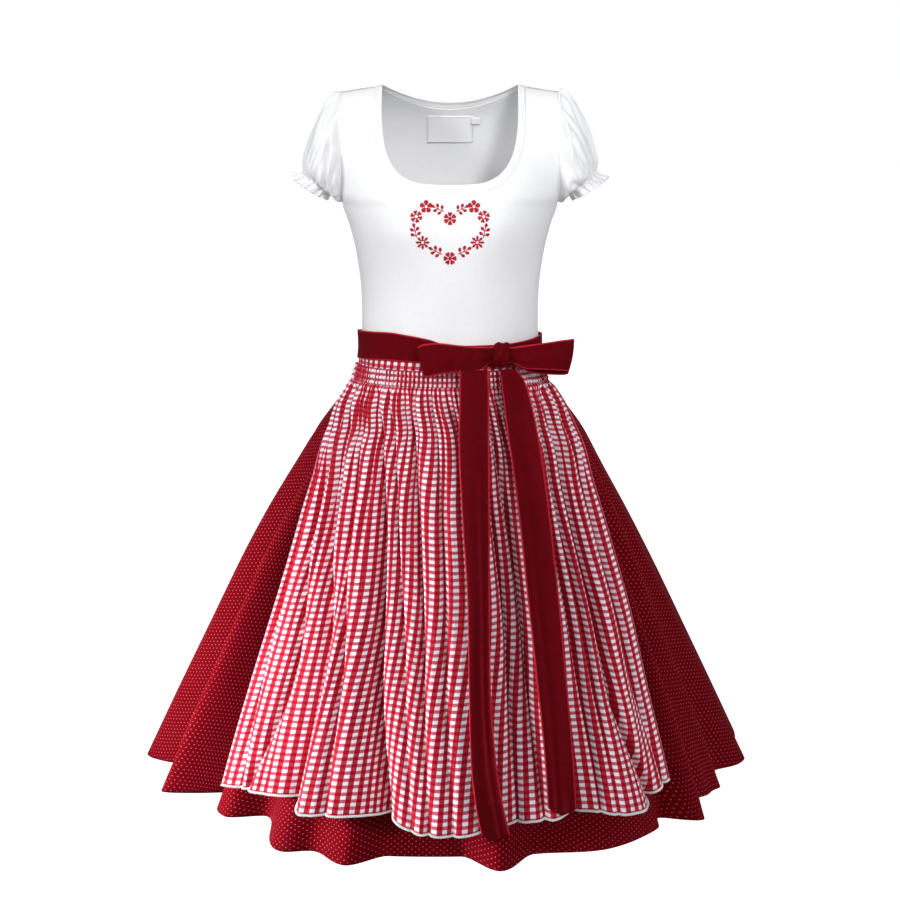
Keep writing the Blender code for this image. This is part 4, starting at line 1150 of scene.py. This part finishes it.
def gather_crest(share, up=0.0):
    """The gathers' cross-section where rows of stitches hold them: round tops and narrow valleys."""
    drift = 0.0028 * hills(51, share, 0.013) + 0.0055 * up * hills(52, share, 0.05)
    return np.abs(np.cos(math.pi * SHIRRING_GATHERS * (share + drift))) ** 0.8


def apron_azimuth(share, z):
    left, right = read_off(APRON_EDGES, "left", z), read_off(APRON_EDGES, "right", z)
    return left + (right - left) * share


def apron_points(share, z, out):
    """Points at a share of the apron's width, at a height and moved straight out of the skirt's cone."""
    return cone_points(apron_azimuth(share, z), z, out)


def shirring_z(up):
    """The height at a share of the way up the shirring."""
    return SHIRRING_BOTTOM_Z - 0.0018 + (STRIP_BOTTOM_Z + 0.0022 - SHIRRING_BOTTOM_Z) * up


def apron_out(share, z):
    """How far the apron's outer face stands out of the skirt's cone, gathers and folds included."""
    hem_z = read_off(APRON_HEM, "z", share)
    down = np.clip((SHIRRING_BOTTOM_Z - z) / (SHIRRING_BOTTOM_Z - hem_z), 0, 1)
    hem = read_off(APRON_HEM, "out", share)
    out = 0.0125 + 0.0170 * ease(down, 0, 0.22) * (1 - down) + hem * down**1.3
    for fold in APRON_FOLDS:
        middle = smooth_between([0, 0.36, 0.72, 1.0], [fold.top, fold.upper, fold.lower, fold.hem], down)
        low, high = fold.mid_depth - fold.top_depth, fold.hem_depth - fold.mid_depth
        depth = fold.top_depth + low * ease(down, 0, 0.40) + high * ease(down, 0.50, 1.0)
        side = (share - middle) / fold.width
        fold_shape = lopsided(side, 1.45, 0.5, 1.4) + 0.8 * lopsided(side, 0.45, 0.16, 1.5)
        out = out - depth * fold_shape * ease(down, 0, 0.03)
    for place, lean, deep, reach, width in GATHER_FOLDS:
        middle = place + lean * down
        trough = lopsided((share - middle) / width, 1.3, 0.6, 1.3)
        out = out - deep * trough * ease(down, 0.0, 0.022) * (1 - ease(down, 0.3 * reach, reach))
    held = SHIRRING_OUT - 0.0014 + GATHER_DEPTH * (0.3 + 0.7 * ease(down, 0, 0.012)) * gather_crest(share)
    out = held + (out - held) * ease(down, 0.004, 0.026)
    out = out + 0.0010 * hills(22, share, 0.011) * ease(down, 0.2, 0.5)
    clear = skirt_cloth_out(apron_azimuth(share, z), z) + WOVEN + 0.0026
    return clear + np.logaddexp(0, (out - clear) / 0.0010) * 0.0010


def apron_rows(count, columns):
    """Rows of apron points from the gathers to the hem. Each column keeps to one thread of the cloth."""
    dense = np.linspace(0, 1, 3600)
    hem_z = read_off(APRON_HEM, "z", dense)
    down = np.linspace(0, 1, count) ** 1.35
    full = []
    for share in down:
        z = SHIRRING_BOTTOM_Z - 2 * SEAM_GAP + (hem_z - SHIRRING_BOTTOM_Z) * share
        full.append(apron_points(dense, z, apron_out(dense, z)))
    full = np.array(full)
    run = lengths(full, 1)
    run = run / run[:, -1:]
    near = bell(down[:, None] - down[None], 0.09 + 0.08 * down[:, None])
    run = (near / near.sum(axis=1, keepdims=True)) @ run
    at = np.linspace(0, 1, columns)
    return np.array([np.stack([np.interp(at, along, row[:, k]) for k in range(3)], axis=-1)
                     for along, row in zip(run, full)])


def waist_points(azimuth, z, out):
    """Points round the waist: over the skirt's cone below its seam, and straight up above it."""
    azimuth, z = np.broadcast_arrays(np.asarray(azimuth, float), np.asarray(z, float))
    points = cone_points(azimuth, np.minimum(z, WAIST_SEAM_Z), out)
    points[..., 2] += np.maximum(z - WAIST_SEAM_Z, 0)
    return points


def build_apron(gingham, cord, selvedge):
    rows = apron_rows(94, 504)
    place = pairs(np.linspace(0, CHECKS_WIDTH, rows.shape[1]), -lengths(rows, 0).mean(axis=1)[:, None])
    cloth_piece("checked_panel", rows[::-1], place[::-1], gingham, WOVEN, "gingham", "apron_panel",
                flat=(APRON_CUT_WIDTH, 0.57), held="gathered", rests_on=["cotton_front"])

    share = np.linspace(0, 1, SHIRRING_GATHERS * 8 + 1)
    up = np.linspace(0, 1, 25)
    held = np.abs(np.sin(math.pi * SHIRRING_STITCHES * up)) ** 0.6
    uneven = 1 + 0.35 * hills(31, share, 0.012)
    shirring = []
    for z, puff, rise in zip(shirring_z(up), held, up):
        crest = gather_crest(share, rise) * (1 + (uneven - 1) * puff)
        out = SHIRRING_OUT - 0.0006 + GATHER_DEPTH * (0.3 + 0.7 * puff) * crest + 0.0006 * puff
        shirring.append(apron_points(share, z, out))
    shirring = np.array(shirring)
    place = pairs(share * CHECKS_WIDTH, ((up * SHIRRING_STITCHES + 0.5) * WEFT_PITCH)[:, None])
    cloth_piece("checked_shirring", shirring, place, gingham, WOVEN, "gingham", "apron_shirring",
                flat=(APRON_CUT_WIDTH, 0.0235), held="gathered", rests_on=["cotton_front"])
    for number in range(SHIRRING_STITCHES + 1):
        at = min(max(number / SHIRRING_STITCHES, 0.02), 0.98)
        dense = np.linspace(0, 1, 1600)
        out = SHIRRING_OUT - 0.0004 + GATHER_DEPTH * 0.3 * gather_crest(dense, at)
        path = apron_points(dense, shirring_z(at), out)
        straight_out = (apron_points(dense, shirring_z(at), out + 0.01) - path) / 0.01
        stitches(f"shirring_stitches_{number}", path, straight_out, SHIRRING_STITCH, selvedge, "gingham")

    share = np.linspace(0, 1, 300)
    levels = np.linspace(STRIP_BOTTOM_Z - 0.0008, APRON_TOP_Z, 14)
    strip = []
    for z in levels:
        puckers = 0.0004 * hills(33, share, 0.008) * ease(-z, 0.386, 0.4015)
        strip.append(waist_points(apron_azimuth(share, z), z, STRIP_OUT + puckers))
    strip = np.array(strip)
    place = pairs(lengths(strip, 1), (levels - levels[0])[:, None])
    cloth_piece("checked_strip", strip, place, gingham, WOVEN, "gingham", "apron_waist_strip",
                flat=(0.42, 0.0275), held="stretched", rests_on=["cotton_front"])

    # The side hems, as a narrow fold, and the twisted cord along the lower edge
    for name, column, near in (("apron_side_right", 0, 1), ("apron_side_left", -1, -2)):
        edge = rows[:, column]
        out = surface_normals(rows[::-1])[::-1][:, near]
        tube(name, edge[3:] - out[3:] * 0.0002, 0.0006, selvedge, "crochet", squash=out[3:])
    way = unit(rows[-1] - rows[-2])
    out = surface_normals(rows[::-1])[0]
    line = rows[-1] + way * (CORD_RADIUS + WOVEN)
    run = lengths(line[:, None], 0)[:, 0]
    at = np.arange(0, run[-1], 0.0007)
    line, way, out = (read_line(part, run, at) for part in (line, way, out))
    for number, nodes in enumerate((["apron_lace"], [])):
        turn = at * 2 * math.pi / CORD_TWIST + number * math.pi
        path = line + (way * np.cos(turn)[:, None] + out * np.sin(turn)[:, None]) * CORD_RADIUS * 0.95
        tube(f"hem_cord_{number}", path, CORD_RADIUS, cord, "crochet", *nodes)
    return rows


# Ribbon and bow


def ribbon_place(points, ring=False):
    """Along the ribbon in metres, and across it from 0 to 1. Rows are across, columns along."""
    run = lengths(looped(points) if ring else points, 1).mean(axis=0)
    return pairs(run, np.linspace(0, 1, len(points))[:, None])


def build_band(velvet):
    azimuth = np.linspace(-180, 180, 360, endpoint=False)
    over_apron = ease(azimuth, -99, -93) * (1 - ease(azimuth, 85, 91))
    out = LAYER_GAP + VELVET + (STRIP_OUT + 0.0005) * over_apron
    top, bottom = read_off(RIBBON_BAND, "top", azimuth), read_off(RIBBON_BAND, "bottom", azimuth)
    rows = []
    near_knot = 0.0008 * bell(azimuth - 34, 22)
    for up in np.linspace(0, 1, 13):
        z = bottom + (top - bottom) * up
        ripple = 0.0006 * hills(41, azimuth + 30 * up, 14) + near_knot * np.cos(up * 16 + azimuth / 7)
        rows.append(waist_points(azimuth, z, out + 0.0009 + ripple))
    rows = np.array(rows)
    cloth_piece("velvet_band", rows, ribbon_place(rows, True), velvet, VELVET, "red_velvet", "ribbon_band",
                ring=True, flat=(0.74, 0.040), held="stretched", rests_on=["jersey_front", "checked_strip"])


def resting_depth(apron, x, z, half):
    """How far forward the apron stands under a strip of cloth."""
    near = (np.abs(apron[..., 0] - x) < half + 0.003) & (np.abs(apron[..., 2] - z) < 0.009)
    return apron[near][:, 1].min() if near.any() else np.nan


def tail_points(tail, apron, phase):
    """Rows of points of a hanging ribbon end, bottom first, lying on the foremost folds."""
    levels = np.linspace(tail[0].z, tail[-1].z, 110)
    middle, width = read_off(tail, "x", levels), read_off(tail, "width", levels)
    depth = np.array([resting_depth(apron, *row) for row in zip(middle, levels, width / 2)])
    known = ~np.isnan(depth)
    depth = np.interp(np.arange(len(depth)), np.flatnonzero(known), depth[known])
    lowest = np.array([depth[max(0, k - 6) : k + 7].min() for k in range(len(depth))])
    kernel = np.hanning(15)
    padded = np.pad(lowest, 7, mode="edge")
    depth = np.minimum(np.convolve(padded, kernel / kernel.sum(), "valid"), lowest)
    forward = depth - TAIL_GAP - VELVET
    across = np.linspace(-0.5, 0.5, 25)
    rows = np.empty((len(levels), len(across), 3))
    rows[..., 0] = middle[:, None] + np.outer(width, across)
    down = np.linspace(0, 1, len(levels))[:, None]
    cup = -0.0016 * np.cos(2 * math.pi * across[None] * 0.9 + phase + 2.2 * down)
    fold = -0.0020 * bell(across[None] - 0.22 * np.cos(phase), 0.10) * ease(down, 0.05, 0.4)
    rows[..., 1] = forward[:, None] + cup + fold - 0.0012
    rows[..., 2] = levels[:, None]
    rows[..., 2] -= TAIL_POINT * (1 - np.abs(2 * across))[None] * ease(down, 0.93, 1.0)
    return rows[::-1]


def loop_points(loop, turn):
    """Rows across a bow loop from its lower edge to its upper, with creases that run out from the knot."""
    steps = np.linspace(0, loop[-1].step, 150)
    x, y, lean = (read_off(loop, column, steps) for column in ("x", "y", "lean"))
    low, high = read_off(loop, "bottom", steps), read_off(loop, "top", steps)
    way = unit(pairs(np.gradient(x), np.gradient(y)))
    side = pairs(way[:, 1], -way[:, 0]) * (1 if loop is RIGHT_LOOP else -1)
    from_root = np.minimum(steps, loop[-1].step - steps)
    near, rooted = bell(from_root, 2.2), ease(from_root, 0.5, 1.6)
    rows = []
    for up in np.linspace(0, 1, 17):
        crease = 0.0020 * near * rooted * np.cos(up * 2 * math.pi * 1.8 + turn)
        belly = 0.0022 * np.sin(math.pi * up) * rooted
        shift_x, shift_y = (side * (crease + belly)[:, None]).T
        rows.append(np.stack([x + lean * up + shift_x, y + shift_y, low + (high - low) * up], axis=-1))
    return np.array(rows)


def knot_points():
    """The ribbon wrapped over the roots of the loops, as rings from one end of the knot to the other."""
    turns = np.linspace(0, 2 * math.pi, 72, endpoint=False)
    rows = []
    for along in np.linspace(-1, 1, 27):
        full = 1 - 0.12 * along**4
        slanting = 0.0019 * np.cos(along * 5.0 - 1.2 * np.sin(turns) - 3.4 * np.cos(turns)) * (1 - along**6)
        y = (KNOT_HALF_DEPTH * full + slanting) * np.sin(turns)
        z = (KNOT_HALF_HEIGHT * full + slanting * 0.5) * np.cos(turns)
        x = KNOT_WIDTH / 2 * along + KNOT_LEAN * z
        rows.append(np.stack([x, y, z], axis=-1) + np.array(KNOT_CENTRE))
    return np.array(rows)


def build_bow(velvet, apron):
    for name, tail, phase in (("left", LEFT_TAIL, 0.6), ("right", RIGHT_TAIL, 2.4)):
        rows = tail_points(tail, apron, phase)
        place = ribbon_place(rows.transpose(1, 0, 2)).transpose(1, 0, 2)
        cloth_piece(f"velvet_tail_{name}", rows, place, velvet, VELVET, "red_velvet", f"bow_tail_{name}",
                    flat=(0.040, 0.60), held="hung", rests_on=["checked_panel"])
    for name, loop, turn in (("left", LEFT_LOOP, 0.4), ("right", RIGHT_LOOP, 2.0)):
        rows = loop_points(loop, turn)
        rows = rows[:, ::-1] if name == "left" else rows
        cloth_piece(f"velvet_loop_{name}", rows, ribbon_place(rows), velvet, VELVET, "red_velvet",
                    f"bow_loop_{name}", flat=(0.25, 0.040), held="folded", rests_on=["velvet_band"])
    rows = knot_points()
    place = ribbon_place(rows, True) * [1, 0.86] + [0, 0.07]
    cloth_piece("velvet_knot", rows, place, velvet, VELVET, "red_velvet", "bow_knot", ring=True,
                flat=(0.10, 0.025), held="folded", rests_on=["velvet_band"])


# Room, light and camera. Each light: name, place, what it points at, size, spread in degrees and watts

FLOOR_Z = -1.45
LIGHTS = (
    ("key", (-2.3, -2.1, 1.0), (0.0, 0.0, -0.5), 0.6, 180, 44),
    ("chest_light", (0.8, -2.8, 0.9), (0.05, 0.0, -0.13), 0.8, 17, 1.3),
    ("skirt_light", (-3.1, -0.8, -0.35), (-0.16, -0.2, -0.90), 0.3, 19, 2.6),
    ("side_light", (2.6, -2.0, -0.5), (0.2, -0.2, -0.88), 0.6, 19, 0.5),
)
CAMERA_PLACE = (0, -2.75, -0.021)
CAMERA_DOWN = 10.57
CAMERA_LENS = 75
CAMERA_SENSOR = 36


def build_room():
    floor = bpy.data.materials.new("pale_floor")
    floor.use_nodes = True
    inputs = floor.node_tree.nodes["Principled BSDF"].inputs
    for name, value in (("Base Color", (0.95, 0.95, 0.95, 1)), ("Roughness", 0.9),
                        ("Emission Color", (1, 1, 1, 1)), ("Emission Strength", 0.85)):
        inputs[name].default_value = value
    corners = [(x, y, FLOOR_Z) for x, y in ((-40, -40), (40, -40), (40, 40), (-40, 40))]
    ground = mesh_object("floor", corners, [(0, 1, 2, 3)], floor, smooth=False)
    ground.visible_diffuse = False
    ground.visible_glossy = False

    world = bpy.data.worlds.new("studio")
    bpy.context.scene.world = world
    world.use_nodes = True
    tree = world.node_tree
    soft = tree.nodes["Background"]
    soft.inputs[0].default_value = (0.95, 0.97, 1.0, 1)
    soft.inputs[1].default_value = 0.40
    paper = tree.nodes.new("ShaderNodeBackground")
    paper.inputs[0].default_value = (1.0, 1.0, 1.0, 1)
    paper.inputs[1].default_value = 1.0
    either = tree.nodes.new("ShaderNodeMixShader")
    tree.links.new(tree.nodes.new("ShaderNodeLightPath").outputs["Is Camera Ray"], either.inputs[0])
    tree.links.new(soft.outputs[0], either.inputs[1])
    tree.links.new(paper.outputs[0], either.inputs[2])
    tree.links.new(either.outputs[0], tree.nodes["World Output"].inputs[0])
    for name, place, aim, size, spread, power in LIGHTS:
        light = bpy.data.lights.new(name, "AREA")
        light.size = size
        light.spread = math.radians(spread)
        light.energy = power
        lamp = bpy.data.objects.new(name, light)
        lamp.location = place
        lamp.rotation_euler = (Vector(aim) - Vector(place)).to_track_quat("-Z", "Y").to_euler()
        bpy.context.scene.collection.objects.link(lamp)

    camera = bpy.data.objects.new("camera", bpy.data.cameras.new("camera"))
    camera.data.lens = CAMERA_LENS
    camera.data.sensor_width = CAMERA_SENSOR
    camera.location = CAMERA_PLACE
    camera.rotation_euler = (math.radians(90 - CAMERA_DOWN), 0, 0)
    bpy.context.scene.collection.objects.link(camera)
    bpy.context.scene.camera = camera
    bpy.context.scene.view_settings.view_transform = "Standard"


jersey = jersey_look()
gingham = gingham_look()
cotton = dotted_look()
velvet = velvet_look()
white_thread = thread_look("white_thread", 246, 246, 247)
grey_thread = thread_look("shade_thread", 205, 205, 208)
red_thread = thread_look("red_thread", 180, 0, 30)
cord = thread_look("cotton_cord", 252, 252, 252, 0.2)
build_bodice(jersey, white_thread)
build_sleeves(jersey, white_thread)
build_heart(red_thread)
build_label(label_look(), grey_thread)
skirt_panel("cotton_front", -90, 90, cotton)
skirt_panel("cotton_back", 90, 270, cotton)
build_side_seams(jersey, thread_look("skirt_seam_thread", 112, 0, 14))
apron = build_apron(gingham, cord, thread_look("rose_selvedge", 214, 120, 140))
build_band(velvet)
build_bow(velvet, apron)
build_room()
